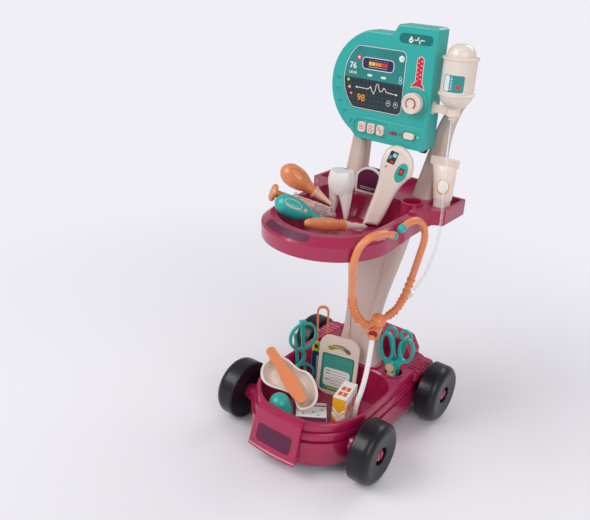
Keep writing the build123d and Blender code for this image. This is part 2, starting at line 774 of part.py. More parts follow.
# Monitor front: a bevelled shell with a raised console, a dial bezel and shallow recesses
console_y = panel_front_y - console_rise
skin_y = panel_front_y + wall
with BuildPart() as monitor_front:
    extrude(monitor_outline(panel_split_y, 0.0), amount=panel_split_y - panel_front_y)
    fillet(monitor_front.faces().sort_by(Axis.Y)[0].edges(), panel_bevel)
    with BuildSketch(facing(panel_front_y + panel_bevel)) as console:
        with BuildLine():
            Polyline(
                (console_left_x, panel_bottom),
                (panel_right_x + 1.2, panel_bottom),
                (panel_right_x + 1.2, console_top),
                (console_left_x, console_top),
                close=True,
            )
        make_face()
        fillet(console.vertices().group_by(Axis.X)[0], 13.0)
        fillet(console.vertices().group_by(Axis.X)[-1], panel_corner)
    extrude(amount=panel_bevel + console_rise)
    fillet(monitor_front.faces().sort_by(Axis.Y)[0].edges(), 1.2)
    # Bezel round the dial
    with BuildSketch(facing(panel_front_y + 0.5)):
        with Locations((knob_x, knob_z)):
            Circle(bezel_radius)
    extrude(amount=bezel_rise + 0.5)
    # Radial ticks on the round side
    for tick in range(tick_count):
        angle = tick_first + tick * tick_pitch
        with BuildSketch(facing(panel_front_y + 0.5)):
            with Locations((
                dial_centre_x + tick_radius * cos(radians(angle)),
                dial_centre_z + tick_radius * sin(radians(angle)),
            )):
                SlotOverall(tick_length, tick_width, rotation=angle)
        extrude(amount=0.5 + tick_rise)
    # Hollow behind the skin, then the bosses that stand in it
    extrude(monitor_outline(panel_split_y, wall), amount=panel_split_y - skin_y, mode=Mode.SUBTRACT)
    with BuildSketch(facing(panel_split_y)):
        with Locations(*screw_places):
            Circle(boss_radius)
    extrude(amount=panel_split_y - skin_y)
    with BuildSketch(facing(board_y)):
        with Locations(*post_places):
            Circle(2.4)
    extrude(amount=board_y - skin_y)
    with BuildSketch(facing(dial_boss_y)):
        with Locations((knob_x, knob_z)):
            Circle(8.0)
    extrude(amount=dial_boss_y - skin_y)
    with BuildSketch(facing(panel_split_y)):
        with Locations(*screw_places):
            Circle(screw_radius + 0.1)
    extrude(amount=9.0, mode=Mode.SUBTRACT)
    # Recesses in the face
    extrude(screen_outline(panel_front_y, 0.0), amount=-screen_depth, mode=Mode.SUBTRACT)
    with BuildSketch(facing(panel_front_y)):
        with Locations((header_x, header_z)):
            RectangleRounded(header_width, header_height, 5.5)
    extrude(amount=-print_depth, mode=Mode.SUBTRACT)
    with BuildSketch(facing(panel_front_y)):
        with Locations((bulb_x, (bulb_slot_top + bulb_z) / 2)):
            RectangleRounded(bulb_slot_width, bulb_slot_top - bulb_z, bulb_slot_width / 2 - 0.1)
        with Locations((bulb_x - 0.6, bulb_z)):
            Circle(bulb_radius)
        with Locations((knob_x, knob_z)):
            Circle(bezel_radius, mode=Mode.SUBTRACT)
    extrude(amount=-print_depth, mode=Mode.SUBTRACT)
    with BuildSketch(facing(panel_front_y - bezel_rise)):
        with Locations((knob_x, knob_z)):
            Circle(knob_radius + 1.0)
    extrude(amount=-bezel_rise, mode=Mode.SUBTRACT)
    with BuildSketch(facing(panel_front_y)):
        with Locations((knob_x, knob_z)):
            Circle(dial_shaft_radius + running_gap)
    extrude(amount=-30.0, mode=Mode.SUBTRACT)
    # Recesses and openings in the console
    with BuildSketch(facing(console_y)):
        with Locations((button_x[1] - 0.4, button_z)):
            RectangleRounded(55.0, 21.6, 10.5)
    extrude(amount=-button_recess, mode=Mode.SUBTRACT)
    with BuildSketch(facing(console_y)):
        with Locations(*((x, button_z) for x in button_x)):
            RectangleRounded(button_width + 2 * fit_gap, button_height + 2 * fit_gap, 3.6)
    extrude(amount=-10.0, mode=Mode.SUBTRACT)
    with BuildSketch(facing(console_y)):
        with Locations((lamp_x, button_z - 0.5)):
            RectangleRounded(11.9, 5.0, 2.4)
        with Locations((lamp_x + 10.0, button_z)):
            Circle(2.0)
    extrude(amount=-print_depth, mode=Mode.SUBTRACT)
    with BuildSketch(facing(console_y)):
        with Locations((slider_x + slider_travel / 2, slider_z)):
            RectangleRounded(slider_width + slider_travel + 4.4, slider_height + 3.0, 5.5)
    extrude(amount=-slider_recess, mode=Mode.SUBTRACT)
    with BuildSketch(facing(console_y)):
        with Locations((slider_x + slider_travel / 2, slider_z)):
            Rectangle(tongue_width + slider_travel + 2 * fit_gap, tongue_height + 2 * fit_gap)
    extrude(amount=-10.0, mode=Mode.SUBTRACT)
monitor_front.part.label = "monitor_front"
export_step(monitor_front.part, "parts/monitor_front.step")

# Monitor rear: the back shell with its battery box and speaker grille
inner_back_y = panel_back_y - wall
with BuildPart() as monitor_rear:
    extrude(monitor_outline(panel_back_y, 0.0), amount=panel_back_y - panel_split_y)
    fillet(monitor_rear.faces().sort_by(Axis.Y)[-1].edges(), panel_bevel)
    extrude(monitor_outline(inner_back_y, wall), amount=inner_back_y - panel_split_y, mode=Mode.SUBTRACT)
    with BuildSketch(facing(inner_back_y)):
        with Locations(*screw_places):
            Circle(boss_radius)
    extrude(amount=inner_back_y - panel_split_y)
    with BuildSketch(facing(inner_back_y)):
        with Locations((battery_x, battery_z)):
            Rectangle(battery_box_width + 2 * box_wall, battery_box_height + 2 * box_wall)
    extrude(amount=inner_back_y - battery_box_y + box_wall)
    with BuildSketch(facing(panel_back_y)):
        with Locations((battery_x, battery_z)):
            Rectangle(battery_box_width, battery_box_height)
    extrude(amount=panel_back_y - battery_box_y, mode=Mode.SUBTRACT)
    with BuildSketch(facing(panel_back_y)):
        with Locations((battery_x, battery_z)):
            RectangleRounded(door_width + 2 * fit_gap, door_height + 2 * fit_gap, 3.0)
    extrude(amount=door_thickness, mode=Mode.SUBTRACT)
    with BuildSketch(facing(panel_back_y)):
        with Locations((speaker_x, speaker_z)):
            Circle(grille_hole_radius)
            for ring, holes in ((5.0, 6), (10.0, 12)):
                with PolarLocations(ring, holes):
                    Circle(grille_hole_radius)
    extrude(amount=2 * wall, mode=Mode.SUBTRACT)
    with BuildSketch(facing(panel_back_y)):
        with Locations(*screw_places):
            Circle(screw_head_radius + fit_gap)
    extrude(amount=panel_back_y - screw_seat_y, mode=Mode.SUBTRACT)
    with BuildSketch(facing(panel_back_y)):
        with Locations(*screw_places):
            Circle(screw_radius + 0.1)
    extrude(amount=panel_back_y - panel_split_y, mode=Mode.SUBTRACT)
monitor_rear.part.label = "monitor_rear"
export_step(monitor_rear.part, "parts/monitor_rear.step")

# Screen window, printed on its face
with BuildPart() as screen_window:
    extrude(screen_outline(panel_front_y + screen_depth, 0.2), amount=screen_thickness)
screen_window.part.label = "screen_window"
export_step(screen_window.part, "parts/screen_window.step")

# Three push buttons, each held by a flange behind the console
for place, x in zip(("left", "middle", "right"), button_x):
    with BuildPart() as button:
        with BuildSketch(facing(skin_y + fit_gap)):
            with Locations((x, button_z)):
                RectangleRounded(button_width, button_height, 3.3)
        extrude(amount=skin_y + fit_gap - button_face_y)
        fillet(button.faces().sort_by(Axis.Y)[0].edges(), 1.1)
        with BuildSketch(facing(skin_y + fit_gap + button_flange)):
            with Locations((x, button_z)):
                Rectangle(button_width + 2.2, button_height + 2.6)
        extrude(amount=button_flange)
    button.part.label = f"button_{place}"
    export_step(button.part, f"parts/button_{place}.step")

# Power slider, with a tongue through the console and a keeper behind it
with BuildPart() as power_slider:
    slider_back_y = console_y + slider_recess - 0.2
    with BuildSketch(facing(slider_back_y)):
        with Locations((slider_x, slider_z)):
            RectangleRounded(slider_width, slider_height, 4.2)
    extrude(amount=3.6)
    fillet(power_slider.faces().sort_by(Axis.Y)[0].edges(), 1.0)
    with BuildSketch(facing(skin_y + fit_gap)):
        with Locations((slider_x, slider_z)):
            Rectangle(tongue_width, tongue_height)
    extrude(amount=skin_y + fit_gap - slider_back_y)
    with BuildSketch(facing(skin_y + fit_gap + 1.4)):
        with Locations((slider_x, slider_z)):
            Rectangle(tongue_width + 3.0, tongue_height + 4.0)
    extrude(amount=1.4)
power_slider.part.label = "power_slider"
export_step(power_slider.part, "parts/power_slider.step")

# Dial: a fluted knob on a shaft that snaps in behind the bezel
with BuildPart() as dial:
    knob_back_y = panel_front_y - fit_gap
    knob_face_y = panel_front_y - knob_reach
    with BuildSketch(facing(knob_back_y)):
        with Locations((knob_x, knob_z)):
            Circle(knob_radius)
    extrude(amount=knob_reach - fit_gap)
    chamfer(dial.faces().sort_by(Axis.Y)[0].edges(), 1.2)
    with BuildSketch(facing(knob_back_y)):
        with Locations((knob_x, knob_z)):
            with PolarLocations(knob_radius + 0.35, flute_count):
                Circle(0.75)
    extrude(amount=knob_reach, mode=Mode.SUBTRACT)
    with BuildSketch(facing(knob_face_y)):
        with Locations((knob_x, knob_z)):
            Circle(knob_radius - 2.6)
    extrude(amount=-0.8, mode=Mode.SUBTRACT)
    with BuildSketch(facing(knob_face_y + 0.8)):
        with Locations((knob_x, knob_z)):
            Circle(6.6)
            Circle(4.4, mode=Mode.SUBTRACT)
            with Locations((0, -6.0)):
                Rectangle(6.0, 6.0, mode=Mode.SUBTRACT)
    extrude(amount=0.8)
    with BuildSketch(facing(dial_boss_y + fit_gap)):
        with Locations((knob_x, knob_z)):
            Circle(dial_shaft_radius)
    extrude(amount=dial_boss_y + fit_gap - knob_back_y)
    with BuildSketch(facing(dial_boss_y + fit_gap + 1.8)):
        with Locations((knob_x, knob_z)):
            Circle(dial_shaft_radius + 1.5)
    extrude(amount=1.8)
dial.part.label = "dial"
export_step(dial.part, "parts/dial.step")

# Inside the monitor: circuit board, speaker and two batteries behind a screwed door
with BuildPart() as circuit_board:
    with BuildSketch(facing(board_y + board_thickness)):
        with Locations((board_x, button_z + 2.0)):
            Rectangle(board_width, board_height)
    extrude(amount=board_thickness)
    with BuildSketch(facing(board_y + board_thickness + 2.0)):
        with Locations((board_x + 14.0, button_z + 2.0)):
            Rectangle(12.0, 12.0)
    extrude(amount=2.0)
circuit_board.part.label = "circuit_board"
export_step(circuit_board.part, "parts/circuit_board.step")

with BuildPart() as speaker:
    with BuildSketch(facing(inner_back_y)):
        with Locations((speaker_x, speaker_z)):
            Circle(speaker_radius)
    extrude(amount=2.0)
    with BuildSketch(facing(inner_back_y - 2.0)):
        with Locations((speaker_x, speaker_z)):
            Circle(speaker_radius - 5.0)
    extrude(amount=3.6)
speaker.part.label = "speaker"
export_step(speaker.part, "parts/speaker.step")

with BuildPart() as batteries:
    for row in (-1, 1):
        cell_z = battery_z + row * (cell_radius + 0.3)
        with BuildSketch(Plane.YZ.offset(battery_x - cell_length / 2)):
            with Locations((battery_box_y + cell_radius + 0.2, cell_z)):
                Circle(cell_radius)
        extrude(amount=cell_length - 1.4)
        with BuildSketch(Plane.YZ.offset(battery_x + cell_length / 2 - 1.4)):
            with Locations((battery_box_y + cell_radius + 0.2, cell_z)):
                Circle(2.6)
        extrude(amount=1.4)
batteries.part.label = "batteries"
export_step(batteries.part, "parts/batteries.step")

with BuildPart() as battery_door:
    with BuildSketch(facing(panel_back_y)):
        with Locations((battery_x, battery_z)):
            RectangleRounded(door_width, door_height, 2.8)
    extrude(amount=door_thickness)
    with BuildSketch(facing(panel_back_y)):
        with Locations((battery_x - door_width / 2 + 4.0, battery_z)):
            with GridLocations(0, 2.6, 1, 5):
                Rectangle(2.6, 1.0)
    extrude(amount=0.6, mode=Mode.SUBTRACT)
battery_door.part.label = "battery_door"
export_step(battery_door.part, "parts/battery_door.step")

with BuildPart() as monitor_screws:
    with BuildSketch(facing(screw_seat_y)):
        with Locations(*screw_places):
            Circle(screw_radius)
    extrude(amount=screw_seat_y - panel_split_y + 8.0)
    with BuildSketch(facing(screw_seat_y + 2.0)):
        with Locations(*screw_places):
            Circle(screw_head_radius)
    extrude(amount=2.0)
    with BuildSketch(facing(screw_seat_y + 2.0)):
        with Locations(*screw_places):
            Rectangle(3.6, 0.9)
            Rectangle(0.9, 3.6)
    extrude(amount=1.0, mode=Mode.SUBTRACT)
monitor_screws.part.label = "monitor_screws"
export_step(monitor_screws.part, "parts/monitor_screws.step")

with BuildPart() as monitor_clips:
    for clip_x in monitor_clip_x:
        with BuildSketch(Plane.YZ.offset(clip_x - monitor_clip_width / 2)):
            with BuildLine():
                Polyline(
                    (panel_split_y - 7.0, panel_bottom),
                    (panel_split_y - 6.0, panel_bottom - 4.2),
                    (panel_split_y - 1.0, panel_bottom - 4.2),
                    (panel_split_y + 4.0, panel_bottom),
                    close=True,
                )
            make_face()
        extrude(amount=monitor_clip_width)
monitor_clips.part.label = "monitor_clips"
export_step(monitor_clips.part, "parts/monitor_clips.step")

# Drip stand: a bracket on the monitor's side, a hollow bottle hanging in it, and its stopper
with BuildPart() as bottle_bracket:
    bracket_z = bracket_top - bracket_height / 2
    with BuildSketch(Plane.XY.offset(bracket_top - bracket_height)):
        with BuildLine():
            Polyline(
                (panel_right_x, bottle_y + 0.6),
                (bottle_x - 4.0, bottle_y - 2.4),
                (bottle_x - 4.0, bottle_y + 2.4),
                (panel_right_x, bottle_y + 5.6),
                close=True,
            )
        make_face()
        with Locations((bottle_x, bottle_y)):
            Circle(neck_radius + running_gap + 2.8)
            Circle(neck_radius + running_gap, mode=Mode.SUBTRACT)
    extrude(amount=bracket_height)
    with BuildSketch(Plane.YZ.offset(panel_right_x)):
        with Locations((bottle_y + 3.0, bracket_z)):
            RectangleRounded(9.0, bracket_height + 6.0, 2.0)
    extrude(amount=1.8)
bottle_bracket.part.label = "bottle_bracket"
export_step(bottle_bracket.part, "parts/bottle_bracket.step")

with BuildPart() as bottle:
    skin = 1.6
    dome_radius = bottle_radius - 3.2
    dome_base = bead_high + 2.0
    bottle_plane = Plane(origin=(bottle_x, bottle_y, 0), x_dir=(1, 0, 0), z_dir=(0, -1, 0))
    bottle_axis = Axis((bottle_x, bottle_y, 0), (0, 0, 1))
    with BuildSketch(bottle_plane):
        with BuildLine():
            Polyline((0, neck_end), (neck_radius, neck_end), (neck_radius, bracket_top), (neck_radius + 3.0, bracket_top))
            ThreePointArc(
                (neck_radius + 3.0, bracket_top),
                (bottle_radius - 3.0, bracket_top + 7.5),
                (bottle_radius, bead_low - 2.0),
            )
            Polyline(
                (bottle_radius, bead_low - 2.0),
                (bead_radius, bead_low - 1.0),
                (bead_radius, bead_low + 1.0),
                (bottle_radius, bead_low + 2.0),
                (bottle_radius, bead_high - 2.0),
                (bead_radius, bead_high - 1.0),
                (bead_radius, bead_high + 1.0),
                (dome_radius, dome_base),
            )
            ThreePointArc(
                (dome_radius, dome_base),
                (dome_radius - 4.0, bottle_top - 4.0),
                (dome_radius - 11.0, bottle_top),
            )
            Polyline((dome_radius - 11.0, bottle_top), (0, bottle_top), (0, neck_end))
        make_face()
    revolve(axis=bottle_axis)
    with BuildSketch(bottle_plane):
        with BuildLine():
            Polyline(
                (0, neck_end),
                (neck_radius - skin, neck_end),
                (neck_radius - skin, bracket_top + skin),
                (neck_radius + 3.0, bracket_top + skin + 0.6),
            )
            ThreePointArc(
                (neck_radius + 3.0, bracket_top + skin + 0.6),
                (bottle_radius - 3.0 - skin, bracket_top + 8.6),
                (bottle_radius - skin, bead_low - 1.0),
            )
            Polyline(
                (bottle_radius - skin, bead_low - 1.0),
                (bottle_radius - skin, bead_high - 1.0),
                (dome_radius - skin, dome_base),
                (dome_radius - 12.0, bottle_top - skin),
                (0, bottle_top - skin),
                (0, neck_end),
            )
        make_face()
    revolve(axis=bottle_axis, mode=Mode.SUBTRACT)
bottle.part.label = "bottle"
export_step(bottle.part, "parts/bottle.step")

with BuildPart() as bottle_stopper:
    with BuildSketch(Plane(origin=(bottle_x, bottle_y, 0), x_dir=(1, 0, 0), z_dir=(0, -1, 0))):
        with BuildLine():
            Polyline(
                (0, neck_end + 5.0),
                (neck_radius - skin - running_gap, neck_end + 5.0),
                (neck_radius - skin - running_gap, neck_end),
                (neck_radius, neck_end),
                (neck_radius, neck_end - 1.8),
                (3.4, neck_end - 2.6),
                (2.4, stopper_end),
                (0, stopper_end),
                close=True,
            )
        make_face()
    revolve(axis=Axis((bottle_x, bottle_y, 0), (0, 0, 1)))
bottle_stopper.part.label = "bottle_stopper"
export_step(bottle_stopper.part, "parts/bottle_stopper.step")


def soft_tube(path_name, points, radius):
    """A tube of straight runs and tangent arcs through a list of points, for a cord that hangs free."""
    corners = [Vector(*point) for point in points]
    radii = []
    for before, corner, after in zip(corners, corners[1:], corners[2:]):
        turn = (corner - before).get_angle(after - corner)
        shorter = min((corner - before).length, (after - corner).length)
        radii.append(0.45 * shorter / tan(radians(turn / 2)))
    with BuildPart() as tube:
        with BuildLine() as route:
            FilletPolyline(*corners, radius=radii)
        with BuildSketch(Plane(origin=corners[0], z_dir=corners[1] - corners[0])):
            Circle(radius)
        sweep(path=route.line)
    length = sum(edge.length for edge in route.edges())
    print(path_name, "length", round(length, 1), "radii", [round(value, 1) for value in radii])
    print(path_name, "volume share", round(tube.part.volume / (pi * radius ** 2 * length), 4))
    return tube.part


# Drip tube: it hangs from the stopper, swings out past the tray and ends in a needle holder
tube_route = (
    (bottle_x, bottle_y, stopper_end),
    (bottle_x, bottle_y, 424.0),
    (90.0, 76.0, 404.0),
    (96.5, 65.0, 380.0),
    (103.5, 52.0, 355.0),
    (108.0, 47.0, 332.0),
    (107.6, 44.0, 304.0),
    (103.5, 46.0, 281.0),
    (94.5, 49.0, 249.0),
    (80.0, 50.0, 220.0),
)
iv_tube = soft_tube("iv_tube", tube_route, tube_radius)
iv_tube.label = "iv_tube"
export_step(iv_tube, "parts/iv_tube.step")

tube_end = Vector(*tube_route[-1])
tube_heading = (tube_end - Vector(*tube_route[-2])).normalized()
with BuildPart() as iv_needle:
    with BuildSketch(Plane(origin=tube_end, x_dir=tube_heading, z_dir=tube_heading.cross(Vector(0, 0, 1)))):
        with BuildLine():
            Polyline(
                (0, 0),
                (0, 3.0),
                (5.0, 3.0),
                (6.0, 4.4),
                (8.0, 4.4),
                (9.0, 2.6),
                (17.0, 1.8),
                (18.0, 0.8),
                (30.0, 0.5),
                (30.0, 0),
                close=True,
            )
        make_face()
    revolve(axis=Axis(tube_end, tube_heading))
iv_needle.part.label = "iv_needle"
export_step(iv_needle.part, "parts/iv_needle.step")

# Stethoscope: two tubular arms that hook over the tray's rim and meet in a yoke
arm_tube_radius = 4.5
yoke_centre = (69.0, -19.0, 199.0)
left_route = (
    (90.5, -47.0, 334.0),
    (88.5, -65.0, 341.0),
    (82.5, -84.0, 341.0),
    (75.5, -96.0, 330.0),
    (72.0, -100.0, 310.0),
    (68.0, -91.0, 284.0),
    (65.0, -83.0, 256.0),
    (63.0, -73.0, 235.0),
    (64.0, -57.0, 213.0),
    (65.0, -38.0, 199.0),
    (67.0, -24.0, 198.0),
)
right_route = (
    (89.5, -20.0, 336.0),
    (91.0, -7.0, 340.5),
    (95.0, 6.0, 340.0),
    (98.0, 21.0, 327.0),
    (97.5, 28.0, 308.0),
    (93.0, 27.0, 283.0),
    (88.5, 25.0, 255.0),
    (84.0, 20.0, 228.0),
    (79.0, 11.0, 208.0),
    (74.0, -5.0, 201.0),
    (71.0, -14.0, 200.0),
)
left_tube = soft_tube("left_arm", left_route, arm_tube_radius)
right_tube = soft_tube("right_arm", right_route, arm_tube_radius)
with BuildPart() as stethoscope_arms:
    add(left_tube)
    add(right_tube)
    # Bellows on the lower part of each arm
    for route in (left_route, right_route):
        for first, last, ribs in ((6, 7, 3), (7, 8, 4), (8, 9, 3)):
            begin = Vector(*route[first])
            run = Vector(*route[last]) - begin
            for rib in range(ribs):
                share = (rib + 0.7) / (ribs + 0.4)
                with Locations(Plane(origin=begin + run * share, z_dir=run).location):
                    Cylinder(arm_tube_radius + 1.1, 2.2)
    with Locations(yoke_centre):
        Sphere(10.5)
    boss_plane = Plane(origin=(69.5, -26.0, 187.0), x_dir=(1, 0.3, 0), z_dir=(0.3, -1.0, -0.25))
    with BuildSketch(boss_plane.offset(-9.0)):
        Circle(9.0)
    extrude(amount=16.0)
    with BuildSketch(boss_plane.offset(7.0)):
        Circle(6.6)
    extrude(amount=-1.6, mode=Mode.SUBTRACT)
    with Locations((69.0, -29.5, 180.5)):
        Cylinder(4.4, 7.0)
stethoscope_arms.part.label = "stethoscope_arms"
export_step(stethoscope_arms.part, "parts/stethoscope_arms.step")

with BuildPart() as ear_tips:
    for route in (left_route, right_route):
        end = Vector(*route[0])
        heading = (end - Vector(*route[1])).normalized()
        with BuildSketch(Plane(origin=end, x_dir=heading, z_dir=heading.cross(Vector(0, 0, 1)))):
            with BuildLine():
                Polyline((0, 0), (0, 5.2), (3.0, 5.2))
                ThreePointArc((3.0, 5.2), (6.6, 4.2), (8.6, 1.6))
                Polyline((8.6, 1.6), (8.6, 0), (0, 0))
            make_face()
        revolve(axis=Axis(end, heading))
ear_tips.part.label = "ear_tips"
export_step(ear_tips.part, "parts/ear_tips.step")

# The chest piece stands in the basket, and its hose rises to the yoke
chest_x = 65.0
chest_y = -47.0
chest_z = 40.0
chest_radius = 14.0
hose_radius = 3.5
hose_route = (
    (69.0, -29.5, 177.0),
    (69.0, -29.5, 160.0),
    (70.5, -36.0, 132.0),
    (69.0, -42.0, 102.0),
    (chest_x, chest_y, chest_z + chest_radius + 24.0),
    (chest_x, chest_y, chest_z + chest_radius + 6.0),
)
stethoscope_hose = soft_tube("hose", hose_route, hose_radius)
stethoscope_hose.label = "stethoscope_hose"
export_step(stethoscope_hose, "parts/stethoscope_hose.step")

with BuildPart() as chest_piece:
    with BuildSketch(Plane.YZ.offset(chest_x - 4.0)):
        with Locations((chest_y, chest_z)):
            Circle(chest_radius)
    extrude(amount=8.0)
    chamfer(chest_piece.edges().filter_by(GeomType.CIRCLE), 1.6)
    with BuildSketch(Plane.YZ.offset(chest_x + 4.0)):
        with Locations((chest_y, chest_z)):
            Circle(chest_radius - 3.4)
    extrude(amount=-0.8, mode=Mode.SUBTRACT)
    with BuildSketch(Plane.XY.offset(chest_z + chest_radius - 2.0)):
        with Locations((chest_x, chest_y)):
            Circle(3.6)
    extrude(amount=8.0)
chest_piece.part.label = "chest_piece"
export_step(chest_piece.part, "parts/chest_piece.step")


def axis_plane(start, end):
    """A plane along a line: its x runs from start to end and its y leans upwards."""
    along = Vector(*end) - Vector(*start)
    return Plane(origin=start, x_dir=along, z_dir=along.cross(Vector(0, 0, 1)))


def line_length(start, end):
    return (Vector(*end) - Vector(*start)).length


# Otoscope: an egg-shaped grip with a stepped cone, leaning on the tray's rim
otoscope_start = (-102.1, -15.5, 367.4)
otoscope_tip = (-38.1, 13.5, 324.4)
otoscope_plane = axis_plane(otoscope_start, otoscope_tip)
otoscope_length = line_length(otoscope_start, otoscope_tip)
with BuildPart() as otoscope:
    with BuildSketch(otoscope_plane):
        with BuildLine():
            ThreePointArc((0, 0), (4.5, 9.5), (15.0, 14.5))
            ThreePointArc((15.0, 14.5), (30.0, 14.0), (42.0, 9.0))
            Polyline(
                (42.0, 9.0),
                (52.0, 6.2),
                (52.0, 8.6),
                (56.0, 8.6),
                (56.0, 7.0),
                (otoscope_length - 8.0, 3.4),
                (otoscope_length, 2.6),
                (otoscope_length, 0),
                (0, 0),
            )
        make_face()
    revolve(axis=Axis(otoscope_start, otoscope_plane.x_dir))
otoscope.part.label = "otoscope"
export_step(otoscope.part, "parts/otoscope.step")

# Syringe: a clear barrel with finger flange and nozzle, and a plunger that slides in it
syringe_start = (-80.0, -64.0, 350.0)
syringe_tip = (-18.0, -5.0, 319.0)
syringe_plane = axis_plane(syringe_start, syringe_tip)
syringe_length = line_length(syringe_start, syringe_tip)
barrel_start = 30.0
barrel_radius = 7.8
barrel_bore = 6.4
plunger_travel = 20.0
with BuildPart() as syringe_barrel:
    with BuildSketch(syringe_plane):
        with BuildLine():
            Polyline(
                (barrel_start, barrel_bore),
                (barrel_start, 10.5),
                (barrel_start + 2.4, 10.5),
                (barrel_start + 2.4, barrel_radius),
                (syringe_length - 9.0, barrel_radius),
                (syringe_length - 7.0, 3.0),
                (syringe_length, 2.4),
                (syringe_length, 1.0),
                (syringe_length - 10.0, 1.0),
                (syringe_length - 10.4, barrel_bore),
                close=True,
            )
        make_face()
    revolve(axis=Axis(syringe_start, syringe_plane.x_dir))
syringe_barrel.part.label = "syringe_barrel"
export_step(syringe_barrel.part, "parts/syringe_barrel.step")

with BuildPart() as syringe_plunger:
    seal_start = syringe_length - 11.0 - plunger_travel - 7.0
    with BuildSketch(syringe_plane):
        with BuildLine():
            Polyline(
                (0, 0),
                (0, 10.0),
                (1.6, 11.5),
                (4.4, 11.5),
                (6.0, 10.0),
                (6.0, 5.0),
                (seal_start, 5.0),
                (seal_start, barrel_bore - running_gap),
                (seal_start + 5.0, barrel_bore - running_gap),
                (seal_start + 7.0, 3.0),
                (seal_start + 7.0, 0),
                close=True,
            )
        make_face()
    revolve(axis=Axis(syringe_start, syringe_plane.x_dir))
syringe_plunger.part.label = "syringe_plunger"
export_step(syringe_plunger.part, "parts/syringe_plunger.step")

# Ear viewer: a fat teal grip that narrows to its neck
viewer_start = (-57.8, -83.8, 349.6)
viewer_tip = (-2.5, -44.8, 322.2)
viewer_plane = axis_plane(viewer_start, viewer_tip)
viewer_length = line_length(viewer_start, viewer_tip)
with BuildPart() as ear_viewer:
    with BuildSketch(viewer_plane):
        with BuildLine():
            ThreePointArc((0, 0), (4.6, 9.2), (16.0, 13.8))
            ThreePointArc((16.0, 13.8), (34.0, 12.5), (50.0, 6.8))
            Polyline(
                (50.0, 6.8),
                (viewer_length - 14.0, 5.0),
                (viewer_length - 14.0, 6.4),
                (viewer_length - 10.0, 6.4),
                (viewer_length, 3.7),
                (viewer_length, 0),
                (0, 0),
            )
        make_face()
    revolve(axis=Axis(viewer_start, viewer_plane.x_dir))
ear_viewer.part.label = "ear_viewer"
export_step(ear_viewer.part, "parts/ear_viewer.step")

# Dental tool: a waisted orange grip with a pale tip
tool_start = (-3.5, -93.9, 336.7)
tool_tip = (21.9, 9.6, 309.0)
tool_plane = axis_plane(tool_start, tool_tip)
tool_length = line_length(tool_start, tool_tip)
with BuildPart() as dental_tool:
    with BuildSketch(tool_plane):
        with BuildLine():
            ThreePointArc((0, 0), (2.0, 3.6), (6.0, 5.4))
            ThreePointArc((6.0, 5.4), (34.0, 8.6), (62.0, 5.8))
            Polyline(
                (62.0, 5.8),
                (62.0, 7.4),
                (68.0, 7.4),
                (68.0, 5.0),
                (tool_length - 6.0, 3.6),
                (tool_length, 1.6),
                (tool_length, 0),
                (0, 0),
            )
        make_face()
    revolve(axis=Axis(tool_start, tool_plane.x_dir))
dental_tool.part.label = "dental_tool"
export_step(dental_tool.part, "parts/dental_tool.step")

# Tooth: a square crown with four cusps on two spreading roots
tooth_x = -35.0
tooth_y = 30.0
root_end = bowl_floor + fit_gap
crown_low = 337.0
crown_top = 369.0
with BuildPart() as tooth:
    for hand in (1, -1):
        with BuildSketch(Plane.XY.offset(root_end)) as root_foot:
            with Locations((tooth_x + hand * 11.0, tooth_y)):
                RectangleRounded(5.0, 6.0, 2.2)
        with BuildSketch(Plane.XY.offset(crown_low - 8.0)) as root_mid:
            with Locations((tooth_x + hand * 9.0, tooth_y)):
                RectangleRounded(12.0, 17.0, 5.0)
        with BuildSketch(Plane.XY.offset(crown_low + 3.0)) as root_top:
            with Locations((tooth_x + hand * 7.0, tooth_y)):
                RectangleRounded(16.0, 21.0, 6.0)
        loft()
    with BuildSketch(Plane.XY.offset(crown_low)) as crown_neck:
        with Locations((tooth_x, tooth_y)):
            RectangleRounded(28.0, 21.0, 8.0)
    with BuildSketch(Plane.XY.offset(crown_low + 14.0)) as crown_belly:
        with Locations((tooth_x, tooth_y)):
            RectangleRounded(35.0, 27.0, 10.0)
    with BuildSketch(Plane.XY.offset(crown_top)) as crown_table:
        with Locations((tooth_x, tooth_y)):
            RectangleRounded(29.0, 22.0, 8.0)
    loft()
    for turn in (0, 90):
        with Locations(Location((tooth_x, tooth_y, crown_top + 5.5), (90, 0, turn))):
            Cylinder(8.0, 60.0, mode=Mode.SUBTRACT)
tooth.part.label = "tooth"
export_step(tooth.part, "parts/tooth.step")

# Badge: a framed plate with an arched top, standing on the step behind the bowl
badge_width = 42.0
badge_height = 38.0
badge_x = -16.5
badge_y = 70.0
with BuildPart() as badge:
    def badge_face(depth_y, inset):
        with BuildSketch(facing(depth_y)) as face:
            with BuildLine():
                half = badge_width / 2 - inset
                low = ledge_height + 0.3 + inset
                spring = ledge_height + badge_height - 14.0
                Polyline((-half + badge_x, spring), (-half + badge_x, low), (half + badge_x, low), (half + badge_x, spring))
                ThreePointArc(
                    (half + badge_x, spring),
                    (badge_x, ledge_height + badge_height - inset),
                    (-half + badge_x, spring),
                )
            make_face()
        return face.sketch

    extrude(badge_face(badge_y + 3.0, 0.0), amount=3.0)
    extrude(badge_face(badge_y, 2.6), amount=-0.8, mode=Mode.SUBTRACT)
badge.part.label = "badge"
export_step(badge.part, "parts/badge.step")

